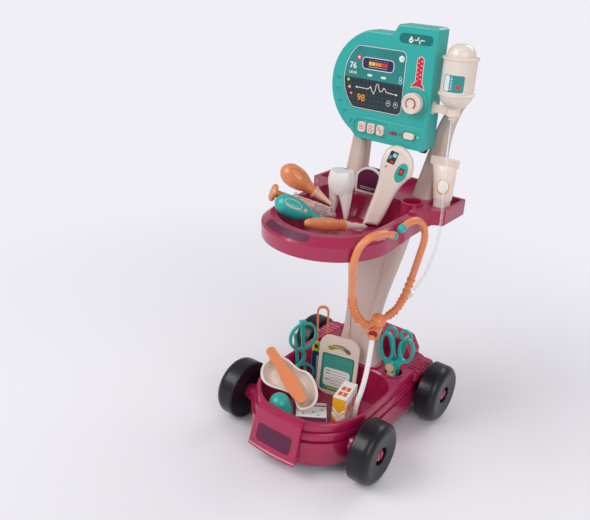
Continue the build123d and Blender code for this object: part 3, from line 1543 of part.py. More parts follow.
# Forehead thermometer: a rounded pistol shape leaning on the bowl's rear edge
gun_foot = (15.0, 33.0, 304.6)
gun_turn = radians(31.0)
gun_across = Vector(cos(gun_turn), sin(gun_turn), 0)
gun_normal = Vector(sin(gun_turn) * 0.985, -cos(gun_turn) * 0.985, 0.17)
gun_plane = Plane(origin=gun_foot, x_dir=gun_across, z_dir=gun_normal)
gun_half_thickness = 10.0
with BuildPart() as thermometer_gun:
    with BuildSketch(gun_plane.offset(-gun_half_thickness)):
        with BuildLine():
            Line((-11.0, 1.0), (9.0, 0.0))
            Spline((9.0, 0.0), (20.0, 24.0), (30.0, 48.0), (45.0, 66.0))
            ThreePointArc((45.0, 66.0), (47.5, 82.0), (37.0, 101.0))
            ThreePointArc((37.0, 101.0), (22.0, 106.0), (9.0, 96.0))
            Spline((9.0, 96.0), (5.0, 80.0), (4.0, 62.0), (-2.0, 34.0), (-11.0, 1.0))
        make_face()
    extrude(amount=2 * gun_half_thickness)
    fillet(thermometer_gun.faces().sort_by(Axis(gun_foot, gun_normal))[-1].edges(), 5.0)
    fillet(thermometer_gun.faces().sort_by(Axis(gun_foot, gun_normal))[0].edges(), 4.0)
thermometer_gun.part.label = "thermometer_gun"
export_step(thermometer_gun.part, "parts/thermometer_gun.step")

# Pill card: a blister sheet with eight tablets, flat on the bowl's floor
card_turn = 24.0
card_plane = Plane(origin=(-6.5, 9.5, bowl_floor + 0.1), x_dir=(cos(radians(card_turn)), sin(radians(card_turn)), 0))
with BuildPart() as pill_card:
    with BuildSketch(card_plane):
        RectangleRounded(44.0, 26.0, 3.0)
    extrude(amount=1.0)
    with BuildSketch(card_plane.offset(1.0)):
        with GridLocations(10.0, 11.0, 4, 2):
            Circle(3.6)
    extrude(amount=2.6, taper=18)
pill_card.part.label = "pill_card"
export_step(pill_card.part, "parts/pill_card.step")

# Ointment tube: crimped at the top, standing on its cap in the right wing's pocket
ointment_x = 85.0
ointment_y = 91.0
pocket_floor = wing_top - pocket_depth
cap_height = 13.0
with BuildPart() as ointment_cap:
    with BuildSketch(Plane.XY.offset(pocket_floor)):
        with Locations((ointment_x, ointment_y)):
            Circle(11.0)
            with PolarLocations(11.2, 24):
                Circle(0.7, mode=Mode.SUBTRACT)
    extrude(amount=cap_height)
    with BuildSketch(Plane.XY.offset(pocket_floor + cap_height)):
        with Locations((ointment_x, ointment_y)):
            Circle(7.2)
    extrude(amount=-5.0, mode=Mode.SUBTRACT)
ointment_cap.part.label = "ointment_cap"
export_step(ointment_cap.part, "parts/ointment_cap.step")

with BuildPart() as ointment_tube:
    tube_base = pocket_floor + cap_height
    with BuildSketch(Plane.XY.offset(tube_base - 4.6)):
        with Locations((ointment_x, ointment_y)):
            Circle(7.0)
    extrude(amount=6.0)
    with BuildSketch(Plane.XY.offset(tube_base + 0.2)):
        with Locations((ointment_x, ointment_y)):
            Ellipse(12.4, 11.6)
    with BuildSketch(Plane.XY.offset(tube_base + 20.0)):
        with Locations((ointment_x - 1.0, ointment_y)):
            Ellipse(14.4, 10.6)
    with BuildSketch(Plane.XY.offset(tube_base + 44.0)):
        with Locations((ointment_x - 3.0, ointment_y)):
            Ellipse(17.5, 3.4)
    loft()
    with BuildSketch(facing(ointment_y + 2.0)):
        with Locations((ointment_x - 3.5, tube_base + 49.0)):
            RectangleRounded(39.0, 11.0, 1.6)
    extrude(amount=4.0)
ointment_tube.part.label = "ointment_tube"
export_step(ointment_tube.part, "parts/ointment_tube.step")

# Clipboard: a framed board with a bean-shaped handle hole, leaning back in the basket
clip_foot = (-12.5, 21.4, basket_floor + 0.65)
clip_across = Vector(0.975, 0.22, 0)
clip_lean = radians(5.0)
clip_normal = Vector(0.22 * cos(clip_lean), -0.975 * cos(clip_lean), sin(clip_lean))
clip_plane = Plane(origin=clip_foot, x_dir=clip_across, z_dir=clip_normal)
clip_width = 62.0
clip_height = 96.0
clip_thickness = 4.0
clip_frame = 5.5
with BuildPart() as clipboard:
    with BuildSketch(clip_plane) as clip_outline:
        with Locations((0, clip_height / 2)):
            Rectangle(clip_width, clip_height)
        fillet(clip_outline.vertices().group_by(Axis.Z)[-1], 17.0)
        fillet(clip_outline.vertices().group_by(Axis.Z)[0], 5.0)
    extrude(amount=-clip_thickness)
    with BuildSketch(clip_plane):
        with BuildLine():
            ThreePointArc((-14.0, clip_height - 16.0), (0, clip_height - 12.0), (14.0, clip_height - 16.0))
            ThreePointArc((14.0, clip_height - 16.0), (18.0, clip_height - 22.0), (12.0, clip_height - 24.5))
            ThreePointArc((12.0, clip_height - 24.5), (0, clip_height - 20.5), (-12.0, clip_height - 24.5))
            ThreePointArc((-12.0, clip_height - 24.5), (-18.0, clip_height - 22.0), (-14.0, clip_height - 16.0))
        make_face()
    extrude(amount=-clip_thickness, mode=Mode.SUBTRACT)
    with BuildSketch(clip_plane):
        with Locations((0, (clip_height - 29.0 + clip_frame) / 2)):
            RectangleRounded(clip_width - 2 * clip_frame, clip_height - 29.0 - clip_frame, 4.0)
    extrude(amount=-1.0, mode=Mode.SUBTRACT)
clipboard.part.label = "clipboard"
export_step(clipboard.part, "parts/clipboard.step")

# Report card: a thin sheet standing between the clipboard and the basket's wall
card_lean = radians(1.5)
report_normal = Vector(0.22 * cos(card_lean), -0.975 * cos(card_lean), sin(card_lean))
report_plane = Plane(origin=(-34.8, 28.6, basket_floor + fit_gap), x_dir=clip_across, z_dir=report_normal)
with BuildPart() as report_card:
    with BuildSketch(report_plane):
        with Locations((0, 38.0)):
            RectangleRounded(50.0, 76.0, 2.0)
    extrude(amount=-1.5)
report_card.part.label = "report_card"
export_step(report_card.part, "parts/report_card.step")

# Glasses: two rings, one above the other, with a bowed bridge and folded temples behind
lens_radius = 21.5
lens_rim = 3.5
lens_depth = 4.0
lens_spacing = 69.0
glasses_along = Vector(0.42, 0.907, 0)
glasses_normal = Vector(0.907, -0.42, 0)
glasses_foot = basket_floor + fit_gap + lens_radius + lens_rim / 2
glasses_plane = Plane(origin=(-61.5, 1.5, glasses_foot), x_dir=glasses_along, z_dir=glasses_normal)
with BuildPart() as glasses:
    with BuildSketch(glasses_plane.offset(-lens_depth / 2)):
        with Locations((0, 0), (0, lens_spacing)):
            Circle(lens_radius + lens_rim / 2)
            Circle(lens_radius - lens_rim / 2, mode=Mode.SUBTRACT)
    extrude(amount=lens_depth)
    with BuildSketch(glasses_plane.offset(-lens_depth / 2)):
        with BuildLine() as bridge_line:
            ThreePointArc((-3.0, lens_radius), (3.5, lens_spacing / 2), (-3.0, lens_spacing - lens_radius))
        SlotArc(bridge_line.edges()[0], 4.6)
    extrude(amount=lens_depth)
    # Hinge blocks at the outer ends, and a temple folded behind from each
    temple_depth = 2.6
    temple_back = glasses_plane.offset(-lens_depth / 2 - 5.0)
    with BuildSketch(temple_back):
        with Locations((0, -lens_radius + 2.0), (0, lens_spacing + lens_radius + 1.0)):
            Rectangle(9.0, 4.0)
    extrude(amount=5.0 + lens_depth / 2)
    with BuildSketch(temple_back):
        with BuildLine():
            Polyline(
                (-3.0, lens_spacing + lens_radius + 2.0),
                (4.0, lens_spacing + lens_radius + 2.0),
                (8.0, 24.0),
                (12.0, 4.0),
                (9.0, 2.0),
                (4.5, 22.0),
                (-3.0, lens_spacing + lens_radius + 2.0),
            )
        make_face()
    extrude(amount=temple_depth)
    with BuildSketch(temple_back):
        with BuildLine():
            Polyline(
                (4.0, -lens_radius + 1.0),
                (-3.0, -lens_radius + 1.0),
                (-9.0, 50.0),
                (-13.0, 72.0),
                (-10.0, 74.0),
                (-5.5, 52.0),
                (4.0, -lens_radius + 1.0),
            )
        make_face()
    extrude(amount=temple_depth)
glasses.part.label = "glasses"
export_step(glasses.part, "parts/glasses.step")

# Tweezers: one bent strip, standing in the left well
tweezer_lean = radians(2.5)
tweezer_across = Vector(0.85 * cos(tweezer_lean), 0.527 * cos(tweezer_lean), sin(tweezer_lean))
tweezer_plane = Plane(
    origin=(-well_x, well_y, well_floor + fit_gap),
    x_dir=tweezer_across,
    z_dir=(0.527, -0.85, 0),
)
tweezer_height = 116.0
tweezer_half = 9.5
tweezer_strip = 3.0
with BuildPart() as tweezers:
    with BuildSketch(tweezer_plane.offset(-2.2)):
        with BuildLine():
            Polyline((-3.6, 0), (-tweezer_half + 0.8, 40.0), (-tweezer_half, tweezer_height - tweezer_half))
            ThreePointArc(
                (-tweezer_half, tweezer_height - tweezer_half),
                (0, tweezer_height),
                (tweezer_half, tweezer_height - tweezer_half),
            )
            Polyline(
                (tweezer_half, tweezer_height - tweezer_half),
                (tweezer_half - 0.8, 40.0),
                (3.6, 0),
                (-3.6, 0),
            )
        make_face()
        with BuildLine(mode=Mode.PRIVATE) as gap_line:
            inner = tweezer_half - tweezer_strip
            Polyline((-0.6, -1.0), (-inner + 0.8, 40.0), (-inner, tweezer_height - tweezer_half))
            ThreePointArc(
                (-inner, tweezer_height - tweezer_half),
                (0, tweezer_height - tweezer_strip),
                (inner, tweezer_height - tweezer_half),
            )
            Polyline((inner, tweezer_height - tweezer_half), (inner - 0.8, 40.0), (0.6, -1.0), (-0.6, -1.0))
        add(make_face(gap_line.edges(), mode=Mode.PRIVATE), mode=Mode.SUBTRACT)
    extrude(amount=4.4)
tweezers.part.label = "tweezers"
export_step(tweezers.part, "parts/tweezers.step")

# Kidney dish: a bean-shaped tray tilted towards the front, its left end on the basket's rim
dish_along = Vector(0.9598, -0.1885, -0.2079)
dish_normal = Vector(0.0915, -0.4900, 0.8669)
dish_plane = Plane(origin=(-31.4, -68.85, 84.35), x_dir=dish_along, z_dir=dish_normal)
dish_depth = 14.5
dish_wall = 2.0
waist_x = 22.0


def dish_outline(depth, inset):
    """The kidney dish's outline at a depth below its rim, drawn in by an inset."""
    half_length = 51.0 - inset
    back = 26.0 - inset
    horn = -25.0 + inset
    waist = -11.5 + 0.8 * inset
    with BuildSketch(dish_plane.offset(-depth)) as outline:
        with BuildLine():
            Spline(
                (0, back),
                (0.72 * half_length, 0.78 * back),
                (half_length, 0),
                (0.84 * half_length, 0.66 * horn),
                (waist_x, waist),
                (waist_x - 26.0, 0.5 * (horn + waist)),
                (-0.6 * half_length, horn),
                (-half_length, -2.0),
                (-0.72 * half_length, 0.78 * back),
                periodic=True,
            )
        make_face()
    return outline.sketch


with BuildPart() as kidney_dish:
    loft([dish_outline(0.0, 1.2), dish_outline(dish_depth - 3.0, 6.0), dish_outline(dish_depth, 9.6)])
    extrude(dish_outline(0.0, 0.0), amount=-2.4)
    loft([
        dish_outline(-0.1, 1.2 + dish_wall),
        dish_outline(dish_depth - 4.0, 5.8 + dish_wall),
        dish_outline(dish_depth - dish_wall, 10.4 + dish_wall),
    ], mode=Mode.SUBTRACT)
kidney_dish.part.label = "kidney_dish"
export_step(kidney_dish.part, "parts/kidney_dish.step")

# Spatula: a flat strip that widens towards its low end, lying in the dish
spatula_start = (-89.0, -43.6, 103.75)
spatula_end = (8.8, -88.6, 78.95)
spatula_along = Vector(*spatula_end) - Vector(*spatula_start)
spatula_face = spatula_along.cross(dish_normal).cross(spatula_along)
spatula_plane = Plane(origin=spatula_start, x_dir=spatula_along, z_dir=spatula_face)
spatula_length = spatula_along.length
with BuildPart() as spatula:
    with BuildSketch(spatula_plane):
        with BuildLine():
            ThreePointArc((6.0, -7.0), (0, 0), (6.0, 7.0))
            Line((6.0, 7.0), (0.45 * spatula_length, 8.0))
            ThreePointArc(
                (0.45 * spatula_length, 8.0),
                (0.72 * spatula_length, 10.5),
                (spatula_length - 8.0, 7.0),
            )
            ThreePointArc((spatula_length - 8.0, 7.0), (spatula_length, 0), (spatula_length - 8.0, -7.0))
            ThreePointArc(
                (spatula_length - 8.0, -7.0),
                (0.72 * spatula_length, -10.5),
                (0.45 * spatula_length, -8.0),
            )
            Line((0.45 * spatula_length, -8.0), (6.0, -7.0))
        make_face()
    extrude(amount=2.2)
spatula.part.label = "spatula"
export_step(spatula.part, "parts/spatula.step")

# Squeeze bulb: a domed teal bulb with a collar, standing against the basket's front wall
bulb_top = (-27.0, -101.6, 84.0)
bulb_foot = (-10.0, -96.0, 24.9)
bulb_plane = axis_plane(bulb_top, bulb_foot)
bulb_length = line_length(bulb_top, bulb_foot)
with BuildPart() as squeeze_bulb:
    with BuildSketch(bulb_plane):
        with BuildLine():
            ThreePointArc((0, 0), (4.4, 10.2), (15.0, 14.6))
            Polyline(
                (15.0, 14.6),
                (18.5, 14.6),
                (19.3, 15.4),
                (22.5, 15.4),
                (bulb_length - 12.0, 12.6),
                (bulb_length - 9.0, 9.0),
                (bulb_length, 7.0),
                (bulb_length, 0),
                (0, 0),
            )
        make_face()
    revolve(axis=Axis(bulb_top, bulb_plane.x_dir))
squeeze_bulb.part.label = "squeeze_bulb"
export_step(squeeze_bulb.part, "parts/squeeze_bulb.step")

# Two cartons: a low one for plasters and a tall one for pills
with BuildPart() as plaster_box:
    with BuildSketch(Plane(origin=(14.0, -76.5, basket_floor + fit_gap), x_dir=(0.817, 0.577, 0))):
        RectangleRounded(41.6, 45.0, 0.8)
    extrude(amount=37.0)
plaster_box.part.label = "plaster_box"
export_step(plaster_box.part, "parts/plaster_box.step")

with BuildPart() as pill_box:
    with BuildSketch(Plane(origin=(46.5, -46.0, basket_floor + fit_gap), x_dir=(0.98, 0.2, 0))):
        RectangleRounded(19.0, 43.0, 0.8)
    extrude(amount=72.0)
pill_box.part.label = "pill_box"
export_step(pill_box.part, "parts/pill_box.step")

# Scissors: two halves in two layers on one pivot, standing in the right well
pivot_x = 58.0
pivot_z = 87.0
scissors_front_y = 58.0
scissors_layer = 4.0
pin_radius = 3.2
pin_head = 1.4
blade_tip_z = well_floor + fit_gap
ring_rim = 4.2


def scissors_half(depth_y, ring_x, ring_z, half_width, half_height, tilt, blade_side):
    """One half of the scissors in a layer that ends at that depth: a ring, a shank and a blade."""
    with BuildPart() as half:
        with BuildSketch(facing(depth_y)):
            with Locations(Location((ring_x, ring_z, 0), (0, 0, tilt))):
                Ellipse(half_width, half_height)
            with Locations((pivot_x, pivot_z)):
                Circle(9.0)
            with BuildLine():
                Polyline(
                    (ring_x - 6.0, ring_z - half_height + 6.0),
                    (pivot_x - 8.0, pivot_z + 2.0),
                    (pivot_x, pivot_z - 8.0),
                    (pivot_x + 8.0, pivot_z + 2.0),
                    (ring_x + 6.0, ring_z - half_height + 6.0),
                    close=True,
                )
            make_face()
            with BuildLine():
                Polyline(
                    (pivot_x - 5.0, pivot_z),
                    (pivot_x + 5.0, pivot_z),
                    (well_x + 4.0, blade_tip_z + 14.0),
                    (well_x + blade_side, blade_tip_z),
                    (well_x - 4.0, blade_tip_z + 14.0),
                    close=True,
                )
            make_face()
            with Locations(Location((ring_x, ring_z, 0), (0, 0, tilt))):
                Ellipse(half_width - ring_rim, half_height - ring_rim, mode=Mode.SUBTRACT)
        extrude(amount=scissors_layer)
    return half.part


with BuildPart() as scissors_left:
    add(scissors_half(scissors_front_y, 48.5, 118.0, 12.5, 23.5, 3.0, 2.0))
    # Pivot pin through the other half, with a head behind it and a domed button in front
    pin_end = scissors_front_y + scissors_layer + 2 * fit_gap + pin_head
    with BuildSketch(facing(pin_end)):
        with Locations((pivot_x, pivot_z)):
            Circle(pin_radius)
    extrude(amount=pin_end - scissors_front_y)
    with BuildSketch(facing(pin_end)):
        with Locations((pivot_x, pivot_z)):
            Circle(pin_radius + 2.0)
    extrude(amount=pin_head)
    with BuildSketch(facing(scissors_front_y - scissors_layer)):
        with Locations((pivot_x, pivot_z)):
            Circle(6.4)
    extrude(amount=1.6)
scissors_left.part.label = "scissors_left"
export_step(scissors_left.part, "parts/scissors_left.step")

with BuildPart() as scissors_right:
    add(scissors_half(scissors_front_y + fit_gap + scissors_layer, 77.5, 121.0, 12.5, 20.5, -4.0, -2.0))
    with BuildSketch(facing(scissors_front_y + fit_gap + scissors_layer)):
        with Locations((pivot_x, pivot_z)):
            Circle(pin_radius + running_gap)
    extrude(amount=scissors_layer, mode=Mode.SUBTRACT)
scissors_right.part.label = "scissors_right"
export_step(scissors_right.part, "parts/scissors_right.step")

# Forceps: two small rings on crossed legs, standing behind the scissors
forceps_y = 69.0
foot = well_floor + fit_gap
with BuildPart() as forceps:
    with BuildSketch(facing(forceps_y)):
        with Locations((48.0, 136.0), (71.0, 139.0)):
            Circle(9.8)
        with BuildLine():
            Polyline((44.0, 128.0), (50.0, 127.0), (63.0, 88.0), (62.0, foot), (58.0, foot), (56.0, 88.0), close=True)
        make_face()
        with BuildLine():
            Polyline((68.0, 130.0), (74.0, 131.0), (66.5, 88.0), (65.0, foot), (61.0, foot), (60.0, 88.0), close=True)
        make_face()
        with Locations((48.0, 136.0), (71.0, 139.0)):
            Circle(6.4, mode=Mode.SUBTRACT)
    extrude(amount=3.2)
forceps.part.label = "forceps"
export_step(forceps.part, "parts/forceps.step")
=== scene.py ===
"""A child's toy medical cart, dressed for a studio picture.

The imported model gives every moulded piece. This script gives each its plastic,
print or metal, and adds the soft tubes, the prints and the small trim.
"""
from math import atan2, cos, degrees, pi, radians, sin

import bpy
from mathutils import Matrix, Vector


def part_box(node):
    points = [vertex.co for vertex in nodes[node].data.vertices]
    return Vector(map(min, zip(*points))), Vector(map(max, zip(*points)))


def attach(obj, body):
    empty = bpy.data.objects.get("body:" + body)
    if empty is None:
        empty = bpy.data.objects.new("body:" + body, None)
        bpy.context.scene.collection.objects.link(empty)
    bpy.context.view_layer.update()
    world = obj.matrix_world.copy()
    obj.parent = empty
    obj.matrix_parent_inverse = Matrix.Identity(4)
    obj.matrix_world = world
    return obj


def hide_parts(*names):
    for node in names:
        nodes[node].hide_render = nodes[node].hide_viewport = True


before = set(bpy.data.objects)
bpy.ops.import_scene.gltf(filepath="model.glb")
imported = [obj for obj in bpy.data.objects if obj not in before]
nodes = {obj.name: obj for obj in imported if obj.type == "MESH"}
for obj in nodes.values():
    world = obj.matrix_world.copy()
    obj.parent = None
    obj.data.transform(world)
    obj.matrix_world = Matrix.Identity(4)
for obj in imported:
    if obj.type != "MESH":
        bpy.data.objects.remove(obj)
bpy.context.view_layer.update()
MM = 0.001

# Camera: it stands right of the cart's front and looks a little down
camera_place = Vector((0.4492, -0.7323, 0.6409))
camera_aim = Vector((-0.0599, -0.0320, 0.2499))
camera_roll = radians(3.146)
camera_lens = 42.765
camera_sensor = 36.0

# Plastics, as seen in plain light
maroon = (0.38, 0.009, 0.070)
teal = (0.024, 0.400, 0.365)
beige = (0.60, 0.45, 0.40)
cream = (0.80, 0.69, 0.61)
orange = (0.76, 0.25, 0.095)
black = (0.010, 0.009, 0.014)
white = (0.86, 0.85, 0.83)
rust = (0.60, 0.15, 0.05)
peach = (0.86, 0.44, 0.24)
tip_peach = (0.80, 0.50, 0.36)
pill_red = (0.66, 0.02, 0.02)

# Handled instruments: where each handle starts and where its tip ends, in mm
otoscope_ends = ((-102.1, -15.5, 367.4), (-38.1, 13.5, 324.4))
viewer_ends = ((-57.8, -83.8, 349.6), (-2.5, -44.8, 322.2))
tool_ends = ((-3.5, -93.9, 336.7), (21.9, 9.6, 309.0))

# Sockets of a colour Mix node, which has a set of them for each kind of data
mix_factor, mix_first, mix_second, mix_result = 0, 6, 7, 2


def deselect_all():
    """Clear the selection, so that an operator meets only its own piece."""
    for thing in bpy.context.selected_objects:
        thing.select_set(False)


# Shared effects: each is a node group with named sockets


def new_group(name, inputs, outputs):
    group = bpy.data.node_groups.new(name, "ShaderNodeTree")
    for label, kind, value in inputs:
        socket = group.interface.new_socket(label, in_out="INPUT", socket_type=kind)
        if value is not None:
            socket.default_value = value
    for label, kind in outputs:
        group.interface.new_socket(label, in_out="OUTPUT", socket_type=kind)
    entry = group.nodes.new("NodeGroupInput")
    result = group.nodes.new("NodeGroupOutput")
    return group, entry, result


def noise(group, scale, detail=2.0, roughness=0.5):
    node = group.nodes.new("ShaderNodeTexNoise")
    node.inputs["Scale"].default_value = scale
    node.inputs["Detail"].default_value = detail
    node.inputs["Roughness"].default_value = roughness
    return node


def mix_color(group):
    node = group.nodes.new("ShaderNodeMix")
    node.data_type = "RGBA"
    return node


def maths(group, operation, second=None):
    node = group.nodes.new("ShaderNodeMath")
    node.operation = operation
    if second is not None:
        node.inputs[1].default_value = second
    return node


def moulded_plastic_group():
    """Colour with faint flow marks, a roughness that wanders and a fine moulded grain."""
    group, entry, result = new_group(
        "moulded plastic",
        (
            ("Color", "NodeSocketColor", (0.5, 0.5, 0.5, 1.0)),
            ("Flow", "NodeSocketFloat", 0.06),
            ("Gloss", "NodeSocketFloat", 0.25),
            ("Wander", "NodeSocketFloat", 0.08),
            ("Grain", "NodeSocketFloat", 0.3),
        ),
        (
            ("Color", "NodeSocketColor"),
            ("Roughness", "NodeSocketFloat"),
            ("Height", "NodeSocketFloat"),
        ),
    )
    place = group.nodes.new("ShaderNodeTexCoord")
    flow = noise(group, 14.0, 3.0)
    wander = noise(group, 60.0, 3.0)
    grain = noise(group, 900.0, 2.0)
    for texture in (flow, wander, grain):
        group.links.new(place.outputs["Object"], texture.inputs["Vector"])
    # Flow marks lighten and darken the colour a little
    centred = maths(group, "SUBTRACT", second=0.5)
    group.links.new(flow.outputs["Fac"], centred.inputs[0])
    amount = maths(group, "MULTIPLY")
    group.links.new(centred.outputs[0], amount.inputs[0])
    group.links.new(entry.outputs["Flow"], amount.inputs[1])
    lift = maths(group, "ADD", second=1.0)
    group.links.new(amount.outputs[0], lift.inputs[0])
    tint = group.nodes.new("ShaderNodeVectorMath")
    tint.operation = "SCALE"
    group.links.new(entry.outputs["Color"], tint.inputs[0])
    group.links.new(lift.outputs[0], tint.inputs["Scale"])
    group.links.new(tint.outputs[0], result.inputs["Color"])
    # Roughness
    off = maths(group, "SUBTRACT", second=0.5)
    group.links.new(wander.outputs["Fac"], off.inputs[0])
    spread = maths(group, "MULTIPLY_ADD")
    group.links.new(off.outputs[0], spread.inputs[0])
    group.links.new(entry.outputs["Wander"], spread.inputs[1])
    group.links.new(entry.outputs["Gloss"], spread.inputs[2])
    group.links.new(spread.outputs[0], result.inputs["Roughness"])
    # Height
    fine = maths(group, "MULTIPLY")
    group.links.new(grain.outputs["Fac"], fine.inputs[0])
    group.links.new(entry.outputs["Grain"], fine.inputs[1])
    group.links.new(fine.outputs[0], result.inputs["Height"])
    return group


moulded = moulded_plastic_group()


def split_group():
    """A mask that is 1 past a distance along a direction from a start, in metres."""
    group, entry, result = new_group(
        "two-shot split",
        (
            ("Start", "NodeSocketVector", (0.0, 0.0, 0.0)),
            ("Direction", "NodeSocketVector", (0.0, 0.0, 1.0)),
            ("Distance", "NodeSocketFloat", 0.0),
        ),
        (("Mask", "NodeSocketFloat"),),
    )
    place = group.nodes.new("ShaderNodeTexCoord")
    away = group.nodes.new("ShaderNodeVectorMath")
    away.operation = "SUBTRACT"
    group.links.new(place.outputs["Object"], away.inputs[0])
    group.links.new(entry.outputs["Start"], away.inputs[1])
    along = group.nodes.new("ShaderNodeVectorMath")
    along.operation = "DOT_PRODUCT"
    group.links.new(away.outputs[0], along.inputs[0])
    group.links.new(entry.outputs["Direction"], along.inputs[1])
    past = maths(group, "GREATER_THAN")
    group.links.new(along.outputs["Value"], past.inputs[0])
    group.links.new(entry.outputs["Distance"], past.inputs[1])
    group.links.new(past.outputs[0], result.inputs["Mask"])
    return group


two_shot = split_group()


def add_second_color(tree, socket, color, split):
    """Feed a colour socket with the first colour, and with each other one past its own plane."""
    last = None
    for other, start, direction, distance in split:
        mask = tree.nodes.new("ShaderNodeGroup")
        mask.node_tree = two_shot
        mask.inputs["Start"].default_value = start
        mask.inputs["Direction"].default_value = direction
        mask.inputs["Distance"].default_value = distance
        blend = mix_color(tree)
        blend.inputs[mix_first].default_value = (*color, 1.0)
        blend.inputs[mix_second].default_value = (*other, 1.0)
        tree.links.new(mask.outputs["Mask"], blend.inputs[mix_factor])
        if last:
            tree.links.new(last, blend.inputs[mix_first])
        last = blend.outputs[mix_result]
    tree.links.new(last, socket)


def new_material(name):
    material = bpy.data.materials.new(name)
    material.use_nodes = True
    tree = material.node_tree
    shader = tree.nodes["Principled BSDF"]
    return material, tree, shader


def plastic(
    name, color, gloss=0.25, grain=0.3, flow=0.08, coat=0.0, bump=0.12, subsurface=0.0,
    split=None, specular=0.5,
):
    """Moulded plastic of one colour, or of more where a split gives each other colour and its start."""
    material, tree, shader = new_material(name)
    shader.inputs["Specular IOR Level"].default_value = specular
    effect = tree.nodes.new("ShaderNodeGroup")
    effect.node_tree = moulded
    effect.inputs["Color"].default_value = (*color, 1.0)
    if split:
        add_second_color(tree, effect.inputs["Color"], color, split)
    effect.inputs["Flow"].default_value = flow
    effect.inputs["Gloss"].default_value = gloss
    effect.inputs["Grain"].default_value = grain
    relief = tree.nodes.new("ShaderNodeBump")
    relief.inputs["Strength"].default_value = bump
    relief.inputs["Distance"].default_value = 0.0002
    tree.links.new(effect.outputs["Color"], shader.inputs["Base Color"])
    tree.links.new(effect.outputs["Roughness"], shader.inputs["Roughness"])
    tree.links.new(effect.outputs["Height"], relief.inputs["Height"])
    tree.links.new(relief.outputs["Normal"], shader.inputs["Normal"])
    shader.inputs["Coat Weight"].default_value = coat
    shader.inputs["Coat Roughness"].default_value = 0.08
    shader.inputs["Subsurface Weight"].default_value = subsurface
    shader.inputs["Subsurface Scale"].default_value = 0.004
    shader.inputs["IOR"].default_value = 1.5
    return material


maroon_plastic = plastic("maroon_plastic", maroon, gloss=0.24, coat=0.35)
teal_plastic = plastic("teal_plastic", teal, gloss=0.30, coat=0.15)
beige_plastic = plastic("beige_plastic", beige, gloss=0.34, grain=0.5)
cream_plastic = plastic("cream_plastic", cream, gloss=0.24, coat=0.2, subsurface=0.15)
orange_plastic = plastic("orange_plastic", orange, gloss=0.28, coat=0.2, subsurface=0.1)
white_plastic = plastic("white_plastic", white, gloss=0.22, coat=0.25, subsurface=0.1)
black_plastic = plastic("black_plastic", black, gloss=0.34, coat=0.12, specular=0.32)
rust_plastic = plastic("rust_plastic", rust, gloss=0.30)
pill_plastic = plastic(
    "pill_plastic", cream, gloss=0.24, coat=0.2,
    split=[(pill_red, (0.0, 0.0, 0.3031), (0.0, 0.0, 1.0), 0.0016)],
)
scissor_plastic = plastic(
    "scissor_plastic", teal, gloss=0.30, coat=0.15,
    split=[
        (cream, (0.0, 0.0, 0.0785), (0.0, 0.0, -1.0), 0.0),
        (peach, (0.0, 0.0539, 0.0), (0.0, -1.0, 0.0), 0.0),
    ],
)


def tipped(name, start, end, share, tip, color):
    """Plastic whose far end, past a share of the way from start to end in mm, has the tip's colour."""
    along = (Vector(end) - Vector(start)) * MM
    return plastic(
        name, color, gloss=0.28, coat=0.2,
        split=[(tip, tuple(Vector(start) * MM), tuple(along.normalized()), along.length * share)],
    )


otoscope_plastic = tipped("otoscope_plastic", *otoscope_ends, 0.66, tip_peach, orange)
tool_plastic = tipped("tool_plastic", *tool_ends, 0.60, cream, orange)
board_green = plastic("board_green", (0.02, 0.12, 0.05), gloss=0.45)
card_white = plastic("card_white", (0.80, 0.78, 0.74), gloss=0.45, grain=0.6)

# Inks of the prints and inlays


def ink(name, color, gloss=0.32):
    """A thin printed colour: a little duller than the plastic under it, with an uneven cover."""
    return plastic(name, color, gloss=gloss, grain=0.6, flow=0.14, bump=0.08)


pale_ink = ink("pale_ink", (0.72, 0.80, 0.80))
white_ink = ink("white_ink", (0.86, 0.86, 0.84))
plum_ink = ink("plum_ink", (0.035, 0.014, 0.075))
plum_label = ink("plum_label", (0.100, 0.006, 0.045), 0.42)
charcoal_ink = ink("charcoal_ink", (0.018, 0.022, 0.030))
yellow_ink = ink("yellow_ink", (0.86, 0.55, 0.03))
amber_ink = ink("amber_ink", (0.86, 0.28, 0.02))
red_ink = ink("red_ink", (0.72, 0.035, 0.022))
scarlet_ink = ink("scarlet_ink", (0.60, 0.012, 0.030))
wine_ink = ink("wine_ink", (0.26, 0.006, 0.030))
brick_ink = ink("brick_ink", (0.70, 0.100, 0.020))
green_ink = ink("green_ink", (0.20, 0.62, 0.10))
lime_ink = ink("lime_ink", (0.56, 0.62, 0.03))
gold_ink = ink("gold_ink", (0.72, 0.38, 0.03))
sun_ink = ink("sun_ink", (0.86, 0.42, 0.02))
sky_ink = ink("sky_ink", (0.30, 0.62, 0.74))
splat_ink = ink("splat_ink", (0.06, 0.40, 0.50))
navy_ink = ink("navy_ink", (0.016, 0.035, 0.110))
deep_teal_ink = ink("deep_teal_ink", (0.006, 0.160, 0.155))
label_teal_ink = ink("label_teal_ink", (0.030, 0.270, 0.280))
page_teal_ink = ink("page_teal_ink", (0.060, 0.330, 0.270))
bright_teal_ink = ink("bright_teal_ink", (0.020, 0.400, 0.350))
peach_plastic = plastic("peach_plastic", peach, gloss=0.28, coat=0.2)


def uneven_roughness(tree, shader, scale, roughness, spread):
    """A roughness that wanders over the surface from one value up by a spread."""
    place = tree.nodes.new("ShaderNodeTexCoord")
    cloud = tree.nodes.new("ShaderNodeTexNoise")
    cloud.inputs["Scale"].default_value = scale
    reach = tree.nodes.new("ShaderNodeMapRange")
    reach.inputs["To Min"].default_value = roughness
    reach.inputs["To Max"].default_value = roughness + spread
    tree.links.new(place.outputs["Object"], cloud.inputs["Vector"])
    tree.links.new(cloud.outputs["Fac"], reach.inputs["Value"])
    tree.links.new(reach.outputs["Result"], shader.inputs["Roughness"])


